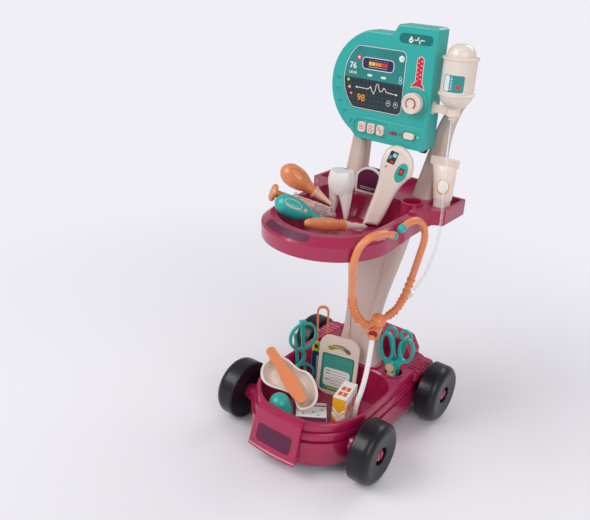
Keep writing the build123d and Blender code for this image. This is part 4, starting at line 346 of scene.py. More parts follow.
def clear_material(name, color, roughness=0.06):
    material, tree, shader = new_material(name)
    shader.inputs["Base Color"].default_value = (*color, 1.0)
    shader.inputs["Transmission Weight"].default_value = 0.85
    shader.inputs["IOR"].default_value = 1.18
    uneven_roughness(tree, shader, 80.0, roughness, 0.08)
    return material


clear_barrel = clear_material("clear_barrel", (0.97, 0.92, 0.90))
soft_vinyl = clear_material("soft_vinyl", (0.93, 0.93, 0.95), 0.18)


def metal(name, color, roughness):
    material, tree, shader = new_material(name)
    shader.inputs["Metallic"].default_value = 1.0
    shader.inputs["Base Color"].default_value = (*color, 1.0)
    uneven_roughness(tree, shader, 300.0, roughness, 0.15)
    return material


plated_steel = metal("plated_steel", (0.55, 0.55, 0.57), 0.25)


# The printed screen's grid and the height where its teal field starts, in metres
grid_pitch, grid_line_share = 0.0062, 0.075
grid_starts = (("X", -0.0740), ("Z", 0.4432))
screen_divide = 0.4824


def screen_material():
    """The printed screen: a muted teal field over a dark one with a fine grid."""
    material, tree, shader = new_material("screen_print")
    place = tree.nodes.new("ShaderNodeTexCoord")
    parts = tree.nodes.new("ShaderNodeSeparateXYZ")
    tree.links.new(place.outputs["Object"], parts.inputs[0])
    lines = []
    for axis, start in grid_starts:
        count = maths(tree, "MULTIPLY_ADD", second=1 / grid_pitch)
        count.inputs[2].default_value = -start / grid_pitch
        tree.links.new(parts.outputs[axis], count.inputs[0])
        share = maths(tree, "FRACT")
        tree.links.new(count.outputs[0], share.inputs[0])
        line = maths(tree, "LESS_THAN", second=grid_line_share)
        tree.links.new(share.outputs[0], line.inputs[0])
        lines.append(line)
    grid = maths(tree, "MAXIMUM")
    tree.links.new(lines[0].outputs[0], grid.inputs[0])
    tree.links.new(lines[1].outputs[0], grid.inputs[1])
    dark = mix_color(tree)
    dark.inputs[mix_first].default_value = (0.012, 0.022, 0.028, 1.0)
    dark.inputs[mix_second].default_value = (0.030, 0.085, 0.095, 1.0)
    tree.links.new(grid.outputs[0], dark.inputs[mix_factor])
    cloud = noise(tree, 26.0, 3.0)
    tree.links.new(place.outputs["Object"], cloud.inputs["Vector"])
    field = mix_color(tree)
    field.inputs[mix_first].default_value = (0.012, 0.185, 0.180, 1.0)
    field.inputs[mix_second].default_value = (0.028, 0.270, 0.265, 1.0)
    tree.links.new(cloud.outputs["Fac"], field.inputs[mix_factor])
    upper = maths(tree, "GREATER_THAN", second=screen_divide)
    tree.links.new(parts.outputs["Z"], upper.inputs[0])
    print_color = mix_color(tree)
    tree.links.new(upper.outputs[0], print_color.inputs[mix_factor])
    tree.links.new(dark.outputs[mix_result], print_color.inputs[mix_first])
    tree.links.new(field.outputs[mix_result], print_color.inputs[mix_second])
    effect = tree.nodes.new("ShaderNodeGroup")
    effect.node_tree = moulded
    effect.inputs["Gloss"].default_value = 0.22
    effect.inputs["Flow"].default_value = 0.05
    tree.links.new(print_color.outputs[mix_result], effect.inputs["Color"])
    tree.links.new(effect.outputs["Color"], shader.inputs["Base Color"])
    tree.links.new(effect.outputs["Roughness"], shader.inputs["Roughness"])
    shader.inputs["Coat Weight"].default_value = 0.2
    return material


screen_print = screen_material()

# Finishes of the moulded pieces
finishes = {
    maroon_plastic: ("base_tub", "bumper_panel", "upper_tray", "stub_axles"),
    black_plastic: (
        "wheel_front_right", "wheel_front_left", "wheel_rear_right", "wheel_rear_left",
        "chassis_plate", "speaker", "monitor_clips",
    ),
    beige_plastic: ("column_front", "column_rear", "mast_arm_right", "mast_arm_left"),
    teal_plastic: (
        "monitor_front", "monitor_rear", "battery_door", "ear_tips", "ear_viewer",
        "glasses", "squeeze_bulb", "forceps",
    ),
    cream_plastic: (
        "button_left", "button_middle", "button_right", "power_slider", "dial",
        "bottle", "bottle_stopper", "thermometer_gun", "ointment_tube", "ointment_cap",
        "bottle_bracket", "clipboard", "kidney_dish",
    ),
    orange_plastic: (
        "stethoscope_arms", "syringe_plunger", "tweezers", "spatula", "chest_piece",
    ),
    otoscope_plastic: ("otoscope",),
    tool_plastic: ("dental_tool",),
    pill_plastic: ("pill_card",),
    scissor_plastic: ("scissors_left", "scissors_right"),
    white_plastic: ("tooth", "iv_needle"),
    screen_print: ("screen_window",),
    card_white: ("badge", "report_card", "plaster_box", "pill_box"),
    clear_barrel: ("syringe_barrel",),
    plated_steel: ("monitor_screws", "batteries"),
    board_green: ("circuit_board",),
}
for finish, names in finishes.items():
    for name in names:
        node = nodes[name]
        node.data.materials.clear()
        node.data.materials.append(finish)

# Cords: their routes are the same as in the part's source, in metres


def soft_line(name, route, radius, material):
    """A round cord along a smooth line through its route."""
    curve = bpy.data.curves.new(name, "CURVE")
    curve.dimensions = "3D"
    spline = curve.splines.new("NURBS")
    spline.points.add(len(route) - 1)
    for point, place in zip(spline.points, route):
        point.co = (*place, 1.0)
    spline.order_u = 3
    spline.use_endpoint_u = True
    curve.bevel_depth = radius
    curve.bevel_resolution = 6
    curve.resolution_u = 16
    curve.use_fill_caps = True
    curve.materials.append(material)
    line = bpy.data.objects.new(name, curve)
    bpy.context.scene.collection.objects.link(line)
    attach(line, "cart")
    return line


drip_route = (
    (0.0865, 0.0840, 0.446),
    (0.0865, 0.0840, 0.424),
    (0.0900, 0.0760, 0.404),
    (0.0965, 0.0650, 0.380),
    (0.1035, 0.0520, 0.355),
    (0.1080, 0.0470, 0.332),
    (0.1076, 0.0440, 0.304),
    (0.1035, 0.0460, 0.281),
    (0.0945, 0.0490, 0.249),
    (0.0800, 0.0500, 0.220),
)
drip_line = soft_line("drip_line", drip_route, 0.0017, soft_vinyl)
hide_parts("iv_tube")

hose_route = (
    (0.0690, -0.0295, 0.177),
    (0.0690, -0.0295, 0.160),
    (0.0705, -0.0360, 0.132),
    (0.0690, -0.0420, 0.102),
    (0.0650, -0.0470, 0.078),
    (0.0650, -0.0470, 0.060),
)
hose_line = soft_line("hose_line", hose_route, 0.0035, white_plastic)
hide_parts("stethoscope_hose")

# Outlines for the printed and inlaid pieces, in mm on the print's own plane


def disc(x, y, radius, sides=32, stretch=1.0):
    return [
        (x + radius * cos(2 * pi * side / sides), y + stretch * radius * sin(2 * pi * side / sides))
        for side in range(sides)
    ]


def rounded(x, y, width, height, corner, steps=6):
    outline = []
    for turn, (across, up) in enumerate(((1, 1), (-1, 1), (-1, -1), (1, -1))):
        for step in range(steps + 1):
            angle = (turn + step / steps) * pi / 2
            outline.append((
                x + across * (width / 2 - corner) + corner * cos(angle),
                y + up * (height / 2 - corner) + corner * sin(angle),
            ))
    return outline


def arc_points(x, y, radius, start, end, steps=16):
    """Points on an arc from one angle to another, in degrees."""
    return [
        (
            x + radius * cos(radians(start + (end - start) * step / steps)),
            y + radius * sin(radians(start + (end - start) * step / steps)),
        )
        for step in range(steps + 1)
    ]


def arc_band(x, y, radius, width, start, end, steps=24):
    outer = arc_points(x, y, radius + width / 2, start, end, steps)
    inner = arc_points(x, y, radius - width / 2, end, start, steps)
    return outer + inner


def ribbon(line, width):
    """The outline of an even line drawn through points, mitred at its corners."""
    left, right = [], []
    for index, point in enumerate(line):
        here = Vector(point)
        before = Vector(line[max(index - 1, 0)])
        after = Vector(line[min(index + 1, len(line) - 1)])
        way_in = (here - before).normalized() if index else (after - here).normalized()
        way_out = (after - here).normalized() if index < len(line) - 1 else way_in
        mitre = (way_in + way_out).normalized()
        side = Vector((-mitre.y, mitre.x))
        reach = width / 2 / max(side.dot(Vector((-way_in.y, way_in.x))), 0.5)
        left.append(tuple(here + side * reach))
        right.append(tuple(here - side * reach))
    return left + right[::-1]


def bent(outline, radius, middle, step=1.5):
    """An outline laid round an arc: its x runs along the arc from the middle angle, its y outwards."""
    placed = []
    for (x, y), (next_x, next_y) in zip(outline, outline[1:] + outline[:1]):
        cuts = max(1, int(abs(next_x - x) / step))
        for cut in range(cuts):
            share = cut / cuts
            angle = radians(middle) + (x + (next_x - x) * share) / radius
            reach = radius + y + (next_y - y) * share
            placed.append((reach * cos(angle), reach * sin(angle)))
    return placed


def burst(x, y, long_reach, short_reach, rays):
    return [
        (
            x + (short_reach if tip % 2 else long_reach) * cos(pi * tip / rays),
            y + (short_reach if tip % 2 else long_reach) * sin(pi * tip / rays),
        )
        for tip in range(2 * rays)
    ]


def heart(x, y, width):
    half = width / 2
    left_lobe = arc_points(x - half / 2, y, half / 2, 200, 0, 12)
    right_lobe = arc_points(x + half / 2, y, half / 2, 180, -20, 12)
    return left_lobe + right_lobe[1:] + [(x, y - 1.15 * half)]


def sheet_at(origin, across, outward):
    """A print's plane from its place in mm: x runs across it and z points out of the surface."""
    out = Vector(outward).normalized()
    right = Vector(across)
    right = (right - out * right.dot(out)).normalized()
    turn = Matrix((right, out.cross(right), out)).transposed().to_4x4()
    return Matrix.Translation(Vector(origin) * MM) @ turn


def face_sheet(y):
    """A plane facing the front: x and y on it are x and z of the cart."""
    return sheet_at((0, y, 0), (1, 0, 0), (0, -1, 0))


def lay_print(piece, name, sheet, finish, body, onto, lift):
    """Turn a flat outline or words into a thin inlay, wrapped onto a curved piece where one is named."""
    deselect_all()
    piece.select_set(True)
    bpy.context.view_layer.objects.active = piece
    bpy.ops.object.convert(target="MESH")
    piece = bpy.context.object
    piece.name = name
    piece.data.name = name
    piece.matrix_world = sheet
    bpy.context.view_layer.update()
    if onto:
        bpy.ops.object.mode_set(mode="EDIT")
        bpy.ops.mesh.select_all(action="SELECT")
        bpy.ops.mesh.subdivide(number_cuts=8)
        bpy.ops.object.mode_set(mode="OBJECT")
        wrap = piece.modifiers.new("wrap", "SHRINKWRAP")
        wrap.target = nodes[onto]
        wrap.wrap_method = "PROJECT"
        wrap.use_project_z = True
        wrap.use_negative_direction = True
        wrap.use_positive_direction = True
        wrap.offset = lift * MM
        bpy.ops.object.modifier_apply(modifier=wrap.name)
        skin = piece.modifiers.new("skin", "SOLIDIFY")
        skin.thickness = lift * MM
        skin.offset = -1.0
        bpy.ops.object.modifier_apply(modifier=skin.name)
    bpy.ops.object.transform_apply(location=True, rotation=True, scale=True)
    if onto:
        bpy.ops.object.shade_smooth_by_angle(angle=radians(35))
    piece.data.materials.clear()
    piece.data.materials.append(finish)
    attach(piece, body)
    return piece


def inlay(name, outlines, sheet, finish, body="cart", onto=None, lift=0.1):
    """A thin printed shape; an outline inside another one is a hole in it."""
    curve = bpy.data.curves.new(name, "CURVE")
    curve.dimensions = "2D"
    curve.fill_mode = "BOTH"
    curve.extrude = 0.0 if onto else lift * MM
    if onto:
        curve.fill_mode = "FRONT"
    for outline in outlines:
        spline = curve.splines.new("POLY")
        spline.points.add(len(outline) - 1)
        for point, (x, y) in zip(spline.points, outline):
            point.co = (x * MM, y * MM, 0.0, 1.0)
        spline.use_cyclic_u = True
    piece = bpy.data.objects.new(name, curve)
    bpy.context.scene.collection.objects.link(piece)
    return lay_print(piece, name, sheet, finish, body, onto, lift)


def number(name, digits, size, place, sheet, finish, lift=0.16):
    """Digits on the screen, centred on a place."""
    deselect_all()
    bpy.ops.object.text_add()
    piece = bpy.context.object
    piece.data.body = digits
    piece.data.size = size * MM
    piece.data.align_x = "CENTER"
    piece.data.align_y = "CENTER"
    piece.data.offset = 0.012 * size * MM
    piece.data.extrude = lift * MM
    spot = sheet @ Matrix.Translation((place[0] * MM, place[1] * MM, 0.0))
    return lay_print(piece, name, spot, finish, "cart", None, lift)


# Monitor: the screen's prints, the header plate, the thermometer slot and the console

screen_sheet = face_sheet(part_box("screen_window")[0][1] / MM)
arc_x, arc_z, arc_radius = -19.0, 483.0, 55.5
window_top, window_bottom, window_right, window_corner = 525.3, 442.5, 18.0, 8.0


def window_outline(inset):
    """The screen's outline, drawn in from its edge: a round left side and three straight ones."""
    radius = arc_radius - inset
    corner = window_corner - inset
    top, bottom, right = window_top - inset, window_bottom + inset, window_right - inset
    outline = arc_points(right - corner, top - corner, corner, 0, 90, 8)
    high = top - corner - arc_z
    high_x = -((radius - corner) ** 2 - high ** 2) ** 0.5
    high_angle = degrees(atan2(high, high_x))
    outline += arc_points(arc_x + high_x, top - corner, corner, 90, high_angle, 8)
    low = bottom + corner - arc_z
    low_x = -((radius - corner) ** 2 - low ** 2) ** 0.5
    low_angle = 360 + degrees(atan2(low, low_x))
    outline += arc_points(arc_x, arc_z, radius, high_angle, low_angle, 32)[1:-1]
    outline += arc_points(arc_x + low_x, bottom + corner, corner, low_angle, 270, 8)
    outline += arc_points(right - corner, bottom + corner, corner, 270, 360, 8)
    return outline


def screen_inlay(name, outlines, finish, lift=0.1):
    """A print that lies on the screen."""
    return inlay(name, outlines, screen_sheet, finish, lift=lift)


def dress_screen():
    screen_inlay("screen_rim", [window_outline(0.7), window_outline(1.5)], pale_ink)
    capsule = rounded(-23.0, 503.0, 46.0, 13.8, 4.5)
    screen_inlay("gauge_frame", [rounded(-23.0, 503.0, 47.8, 15.6, 5.4), capsule], pale_ink)
    screen_inlay("gauge_field", [capsule], plum_ink)
    for part, finish, places in (
        ("low", yellow_ink, (0, 1)),
        ("middle", amber_ink, (2, 3)),
        ("high", red_ink, (4, 5)),
    ):
        bars = [rounded(-34.6 + 4.8 * place, 503.1, 4.3, 4.6, 0.5, 2) for place in places]
        screen_inlay(f"gauge_bar_{part}", bars, finish, lift=0.2)
    ticks = [disc(-35.0 + 4.2 * tick, 507.3, 0.42, 8) for tick in range(7)]
    ticks.append(ribbon([(-36.6, 498.9), (-9.4, 498.9)], 0.45))
    screen_inlay("gauge_marks", ticks, pale_ink, lift=0.2)
    screen_inlay("alarm_burst", [burst(-52.2, 509.1, 4.0, 2.7, 10)], red_ink)
    screen_inlay("alarm_heart", [disc(-52.2, 509.1, 1.6, 16)], white_ink, lift=0.2)
    screen_inlay(
        "upper_marks",
        [
            disc(10.6, 514.6, 4.0),
            disc(12.4, 514.2, 0.9, 12),
            rounded(-34.1, 488.2, 7.4, 3.0, 1.4),
            rounded(-13.3, 487.6, 7.4, 3.0, 1.4),
            disc(11.8, 490.4, 2.2, 20),
            disc(11.8, 490.4, 1.6, 20),
            disc(11.8, 485.8, 2.4, 20),
            disc(11.8, 485.8, 1.8, 20),
        ],
        pale_ink,
    )
    number("pulse_number", "76", 11.0, (-60.6, 497.6), screen_sheet, white_ink)
    number("pressure_number", "120 80", 4.4, (-60.7, 488.6), screen_sheet, white_ink)
    number("oxygen_number", "98", 12.6, (-44.6, 457.1), screen_sheet, amber_ink)
    trace = [
        (-52.6, 470.6), (-34.6, 470.4), (-31.2, 473.9), (-28.4, 468.2), (-25.8, 465.1), (-23.7, 470.4),
        (-22.8, 477.2), (-21.2, 478.6), (-19.6, 477.4), (-17.4, 470.6), (-15.6, 469.5), (-13.1, 470.9),
        (-11.2, 474.6), (-9.6, 474.2), (-7.4, 470.2), (-2.0, 469.6), (8.1, 468.9),
    ]
    screen_inlay("pulse_trace", [ribbon(trace, 0.8)], white_ink)
    ends = [disc(-52.6, 470.6, 1.25, 16), disc(8.1, 468.9, 1.25, 16)]
    screen_inlay("trace_ends", ends, white_ink, lift=0.2)
    for color, finish, place in (
        ("green", green_ink, (-66.4, 478.6)),
        ("amber", amber_ink, (-63.9, 469.4)),
        ("red", red_ink, (-60.4, 461.4)),
    ):
        screen_inlay(f"{color}_light", [disc(*place, 2.1, 24)], finish)
        screen_inlay(f"{color}_light_spot", [disc(*place, 0.8, 12)], pale_ink, lift=0.2)
    for side, place in (("left", (-2.5, 456.4)), ("right", (8.4, 456.0))):
        marks = [
            disc(*place, 3.3, 28, 1.15), disc(*place, 2.8, 28, 1.17), heart(place[0], place[1] + 0.5, 2.6),
        ]
        screen_inlay(f"{side}_icon", marks, pale_ink)


def dress_header():
    plate_sheet = face_sheet(76.7)
    inlay("header_plate", [rounded(27.6, 540.1, 45.6, 11.7, 5.0)], plate_sheet, deep_teal_ink, lift=0.15)
    drop = arc_points(20.4, 538.2, 2.9, 150, 390, 18) + [(20.6, 543.6)]
    inlay("header_drop", [drop], plate_sheet, white_ink, lift=0.25)
    inlay("header_drop_heart", [heart(20.4, 538.4, 2.8)], plate_sheet, red_ink, lift=0.32)
    pulse = [(25.0, 539.2), (28.8, 539.2), (30.4, 542.9), (32.6, 535.2), (34.4, 539.8), (39.4, 539.4)]
    inlay("header_pulse", [ribbon(pulse, 1.1)], plate_sheet, white_ink, lift=0.25)


def crossing(first, second, side):
    """Where two circles, each x, y and radius, meet: on the left (-1) or the right (1)."""
    gap = Vector((second[0] - first[0], second[1] - first[1]))
    reach = gap.length
    along = (first[2] ** 2 - second[2] ** 2 + reach ** 2) / (2 * reach)
    half = (first[2] ** 2 - along ** 2) ** 0.5
    way = gap / reach
    return (
        first[0] + way.x * along - side * way.y * half,
        first[1] + way.y * along + side * way.x * half,
    )


def slot_outline(inset):
    """The thermometer's outline: a tall slot that opens into a fan above the dial's bezel."""
    half = 11.5 / 2 - 0.1 - inset
    fan = (36.5, 480.0, 10.5 - inset)
    ring = (35.5, 463.8, 18.8 + inset)
    outline = arc_points(37.1, 515.65, half, 0, 180, 14)
    for edge, side in ((37.1 - half, -1), (37.1 + half, 1)):
        rise = (fan[2] ** 2 - (edge - fan[0]) ** 2) ** 0.5
        shoulder = degrees(atan2(rise, edge - fan[0]))
        meets = max(
            (crossing(fan, ring, hand) for hand in (1, -1)), key=lambda spot: side * spot[0],
        )
        base = degrees(atan2(meets[1] - fan[1], meets[0] - fan[0]))
        ring_angle = degrees(atan2(meets[1] - ring[1], meets[0] - ring[0]))
        if side < 0:
            base %= 360
            outline += arc_points(*fan, shoulder, base, 12)
            left_ring = ring_angle
        else:
            outline += arc_points(*ring, left_ring, ring_angle, 14)[1:-1]
            outline += arc_points(*fan, base, shoulder, 12)
    return outline


def dress_thermometer():
    slot_sheet = face_sheet(76.7)
    inlay("thermometer_edge", [slot_outline(0.4), slot_outline(1.3)], slot_sheet, pale_ink, lift=0.15)
    inlay("thermometer_fill", [slot_outline(1.3)], slot_sheet, scarlet_ink, lift=0.15)
    marks = []
    for mark in range(11):
        long = 2.6 if mark % 2 else 1.6
        side = 1 if mark % 2 else -1
        height = 490.5 + 2.7 * mark
        marks.append(ribbon([(37.1 + side * 3.2, height), (37.1 + side * (3.2 - long), height + 0.7)], 0.8))
    inlay("thermometer_marks", marks, slot_sheet, pale_ink, lift=0.24)


def dress_controls():
    dial_sheet = face_sheet(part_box("dial")[0][1] / MM)
    inlay(
        "dial_horseshoe", [arc_band(35.5, 463.9, 6.4, 1.5, -52, 232)], dial_sheet, wine_ink,
        body="dial",
    )
    button_inks = {
        "left": [
            rounded(-37.4, 420.6, 6.4, 6.8, 2.0), rounded(-37.4, 420.6, 5.2, 5.6, 1.5),
            heart(-37.4, 421.0, 3.2),
        ],
        "middle": [
            disc(-23.1, 422.9, 2.5, 20), disc(-23.1, 422.9, 1.7, 20),
            rounded(-23.1, 417.9, 6.4, 3.9, 1.6), rounded(-23.1, 417.9, 4.8, 2.4, 0.9),
        ],
        "right": [
            ribbon(
                [
                    (-12.6, 420.2), (-10.6, 420.2), (-9.6, 424.0),
                    (-8.0, 416.6), (-6.9, 420.6), (-5.2, 420.6),
                ],
                0.9,
            ),
            disc(-11.4, 424.2, 0.8, 12), disc(-6.0, 416.8, 0.8, 12),
        ],
    }
    for place, outlines in button_inks.items():
        sheet = face_sheet(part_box(f"button_{place}")[0][1] / MM)
        inlay(f"button_{place}_print", outlines, sheet, scarlet_ink, body=f"button_{place}")
    lamp_sheet = face_sheet(74.7)
    inlay("lamp_slot", [rounded(10.75, 419.5, 11.1, 4.2, 2.0)], lamp_sheet, plum_ink, lift=0.15)
    inlay("lamp_glow", [rounded(8.1, 419.5, 5.2, 3.2, 1.5)], lamp_sheet, scarlet_ink, lift=0.25)
    specks = [disc(12.2 + 1.3 * speck, 419.5, 0.42, 8) for speck in range(3)]
    inlay("lamp_specks", specks, lamp_sheet, pale_ink, lift=0.25)
    inlay("signal_dot", [disc(20.75, 420.0, 1.8, 20)], lamp_sheet, scarlet_ink, lift=0.25)
    inlay("power_dot", [disc(46.4, 420.6, 1.5, 20)], face_sheet(75.4), lime_ink, lift=0.12)


def dress_ticks():
    """Painted shade: a dark teal stripe beside each raised tick on the monitor's round side."""
    tick_shadows = []
    middle_x, middle_z, near, far = -21.0, 474.5, 58.6, 64.6
    for tick in range(5):
        angle = radians(176.0 + 14.5 * tick - 1.3)
        line = [(middle_x + reach * cos(angle), middle_z + reach * sin(angle)) for reach in (near, far)]
        tick_shadows.append(ribbon(line, 0.9))
    # The stripes are painted shadow beside the ticks, in deep teal ink.
    inlay("painted_tick_shadows", tick_shadows, face_sheet(76.0), deep_teal_ink, lift=0.1)


dress_screen()
dress_ticks()
dress_header()
dress_thermometer()
dress_controls()

# Drip bottle: a label wrapped round its front

label_way = radians(-81.0)
label_out = Vector((cos(label_way), sin(label_way), 0.0))
bottle_sheet = sheet_at(Vector((86.5, 84.0, 496.6)) + label_out * 24.0, (1, 0.15, 0), label_out)
for name, outlines, finish, lift in (
    ("bottle_label", [rounded(0, 0, 24.8, 20.0, 2.4)], label_teal_ink, 0.2),
    ("bottle_label_left", [rounded(-8.2, 0, 6.4, 18.6, 1.6)], pale_ink, 0.34),
    ("bottle_heart", [heart(6.4, -3.4, 6.4)], red_ink, 0.34),
    (
        "bottle_scale",
        [rounded(-2.4, 7.2 - 2.0 * tick, 2.6 if tick % 2 else 1.6, 0.8, 0.3, 2) for tick in range(8)],
        white_ink, 0.34,
    ),
):
    inlay(name, outlines, bottle_sheet, finish, onto="bottle", lift=lift)

# Bumper and tray: bare dark labels

bumper_sheet = sheet_at((0, -143.0, 47.0), (1, 0, 0), (0, -0.959, 0.283))
inlay(
    "bumper_label", [rounded(0, 0, 55.0, 24.0, 4.6)], bumper_sheet, plum_label, onto="bumper_panel",
    lift=0.12,
)
tray_sheet = sheet_at((0, -46.5, 345.0), (1, 0, 0), (0, 0, 1))
tray_band = bent(rounded(0, 0, 74.0, 8.2, 2.8), 78.3, -100.0)
inlay("tray_label", [tray_band], tray_sheet, plum_label, onto="upper_tray", lift=0.3)

# Clipboard and report card

clip_across = (0.975, 0.22, 0.0)
clip_out = Vector((0.22 * cos(radians(5)), -0.975 * cos(radians(5)), sin(radians(5))))
clip_sheet = sheet_at(Vector((-12.5, 21.4, 22.65)) - clip_out.normalized() * 1.0, clip_across, clip_out)
inlay("clip_page", [rounded(0, 36.25, 50.4, 60.9, 3.7)], clip_sheet, page_teal_ink, lift=0.15)
inlay(
    "clip_page_edge", [rounded(0, 36.25, 48.6, 59.1, 3.0), rounded(0, 36.25, 47.0, 57.5, 2.4)],
    clip_sheet, charcoal_ink, lift=0.22,
)
inlay("clip_form", [rounded(0, 28.0, 41.0, 30.0, 5.0)], clip_sheet, white_ink, lift=0.22)
form_lines = [ribbon([(-9.0, 38.4 - 4.9 * row), (16.6, 38.4 - 4.9 * row)], 0.5) for row in range(5)]
form_lines += [rounded(-14.0, 38.8 - 4.9 * row, 6.6, 1.3, 0.4, 2) for row in (0, 1, 3)]
inlay("clip_form_lines", form_lines, clip_sheet, charcoal_ink, lift=0.3)
inlay("clip_foot_mark", [rounded(-4.0, 10.0, 20.0, 2.6, 1.0)], clip_sheet, lime_ink, lift=0.22)

card_out = Vector((0.22 * cos(radians(1.5)), -0.975 * cos(radians(1.5)), sin(radians(1.5))))
card_sheet = sheet_at((-34.8, 28.6, 22.3), clip_across, card_out)
inlay("report_field", [rounded(0, 30.0, 49.4, 59.2, 1.6)], card_sheet, navy_ink, lift=0.1)
inlay("report_band", [rounded(0, 67.8, 49.4, 15.8, 1.6)], card_sheet, lime_ink, lift=0.1)
report_marks = [rounded(-19.0 + 9.0 * bar, 67.8, 5.0, 6.4, 0.8, 3) for bar in range(2)]
inlay("report_band_marks", report_marks, card_sheet, charcoal_ink, lift=0.18)
inlay("report_rules", [rounded(-16.0, 30.0, 2.2, 46.0, 0.8, 3)], card_sheet, pale_ink, lift=0.18)

# Cartons

plaster_sheet = sheet_at((14.0, -76.5, 59.3), (0.817, 0.577, 0), (0, 0, 1))
inlay(
    "plaster_band", [rounded(0, -16.4, 41.0, 11.8, 0.6, 2), rounded(0, 15.6, 41.0, 2.6, 0.4, 2)],
    plaster_sheet, plum_label,
)
splat_places = ((-11.0, -3.0), (2.0, 1.6), (-14.0, 8.4), (9.6, -5.4), (14.6, 7.0))
splats = [burst(x, y, 2.5, 1.3, 6) for x, y in splat_places]
inlay("plaster_splats", splats, plaster_sheet, splat_ink)
inlay("plaster_panel", [rounded(-4.0, 19.7, 24.0, 4.0, 0.6, 2)], plaster_sheet, sky_ink)

box_across = Vector((0.98, 0.2, 0.0)).normalized()
box_deep = Vector((-box_across.y, box_across.x, 0.0))
box_middle = Vector((46.5, -46.0, 58.3))
pill_front = sheet_at(box_middle - box_deep * 21.5, box_across, -box_deep)
inlay("pill_front_panel", [rounded(0, 0, 18.4, 71.2, 0.5, 2)], pill_front, sun_ink)
chevrons = [
    ribbon([(-8.6, 5.0 - drop), (0.0, -4.4 - drop), (8.6, 5.0 - drop)], width)
    for drop, width in ((-14.0, 2.6), (-6.5, 4.6))
]
inlay("pill_front_chevrons", chevrons, pill_front, white_ink, lift=0.18)
foot = [(-9.0, 4.0), (0.0, -5.8), (9.0, 4.0), (9.0, -35.4), (-9.0, -35.4)]
inlay("pill_front_foot", [foot], pill_front, brick_ink, lift=0.18)
pill_side = sheet_at(box_middle + box_across * 9.5, box_deep, box_across)
side_bars = [rounded(-15.0 + 5.6 * bar, 16.0, 3.8, 17.0, 1.6, 3) for bar in range(3)]
side_bars += [rounded(5.0 + 5.6 * bar, 16.0, 3.8, 17.0, 1.6, 3) for bar in range(3)]
inlay("pill_side_bars", side_bars, pill_side, brick_ink)
pill_top = sheet_at(box_middle + Vector((0, 0, 36.0)), box_across, (0, 0, 1))
top_bars = [rounded(x, y, 5.4, 9.4, 0.8, 3) for x in (-3.4, 3.4) for y in (-9.6, 3.4)]
inlay("pill_top_bars", top_bars, pill_top, brick_ink)

# Thermometer gun: its display and trigger plate

gun_turn = radians(31.0)
gun_out = Vector((sin(gun_turn) * 0.985, -cos(gun_turn) * 0.985, 0.17)).normalized()
gun_sheet = sheet_at(
    Vector((15.0, 33.0, 304.6)) + gun_out * 10.0, (cos(gun_turn), sin(gun_turn), 0), gun_out,
)
slant = 0.34


def leaning(outline, x, y):
    """The outline turned with the thermometer's head about its own middle."""
    return [
        (x + (a * cos(-slant) - b * sin(-slant)), y + (a * sin(-slant) + b * cos(-slant))) for a, b in outline
    ]


display, spot, plate = (19.0, 91.0), (11.6, 79.5), (31.6, 72.0)
for name, outline, place, finish, lift in (
    ("gun_display", rounded(0, 0, 10.6, 16.4, 1.4), display, charcoal_ink, 0.1),
    ("gun_readout", rounded(1.6, 3.6, 5.2, 5.0, 0.8), display, sky_ink, 0.2),
    ("gun_keys", rounded(-3.0, -0.4, 2.6, 4.6, 0.6), display, splat_ink, 0.2),
    ("gun_alarm", rounded(1.2, -5.2, 4.0, 2.6, 0.6), display, red_ink, 0.2),
    ("gun_spot", rounded(0, 0, 1.8, 3.4, 0.8), spot, scarlet_ink, 0.1),
    ("gun_plate", disc(0, 0, 7.6, 40, 1.72), plate, bright_teal_ink, 0.25),
    ("gun_plate_window", rounded(-0.4, 1.4, 6.6, 9.0, 0.6, 3), plate, charcoal_ink, 0.34),
    ("gun_plate_light", rounded(-0.6, 1.2, 4.0, 5.6, 0.4, 2), plate, red_ink, 0.42),
):
    inlay(name, [leaning(outline, *place)], gun_sheet, finish, lift=lift)

# Badge and ointment tube


def arched(inset):
    """The badge's field, drawn in from the badge's edge: straight at the foot and round above."""
    middle, half, low, spring, top = -16.5, 21.0 - inset, 330.3 + inset, 354.0, 368.0 - inset
    drop = top - spring
    radius = (half ** 2 + drop ** 2) / (2 * drop)
    side = degrees(atan2(drop - radius, half))
    foot_line = [(middle - half, low), (middle + half, low)]
    return foot_line + arc_points(middle, top - radius, radius, side, 180 - side, 20)


ointment_out = Vector((0.35, -0.93, 0.0)).normalized()
ointment_sheet = sheet_at(Vector((84.0, 91.0, 362.5)) + ointment_out * 20.0, (0.93, 0.35, 0), ointment_out)
for name, outline, finish, lift in (
    ("ointment_label_edge", disc(0, 0, 8.4, 36, 1.2), gold_ink, 0.14),
    ("ointment_label", disc(0, 0.8, 7.0, 36, 1.2), white_ink, 0.26),
):
    inlay(name, [outline], ointment_sheet, finish, onto="ointment_tube", lift=lift)
badge_sheet = face_sheet(70.8)
badge_rules = [ribbon([(-30.0, 339.0), (-4.0, 339.0)], 0.7), ribbon([(-30.0, 336.6), (-10.0, 336.6)], 0.5)]
inlay("badge_field", [arched(3.0)], badge_sheet, plum_label, lift=0.15)
inlay("badge_rules", badge_rules, badge_sheet, pale_ink, lift=0.22)

# Stethoscope yoke: a dark red disc set in the boss

yoke_out = Vector((0.3, -1.0, -0.25)).normalized()
yoke_sheet = sheet_at(Vector((69.5, -26.0, 187.0)) + yoke_out * 5.4, (1, 0.3, 0), yoke_out)
inlay("yoke_disc", [disc(0, 1.2, 5.3, 32)], yoke_sheet, wine_ink, lift=1.2)


# Grips: a bare oval plate on each instrument's handle


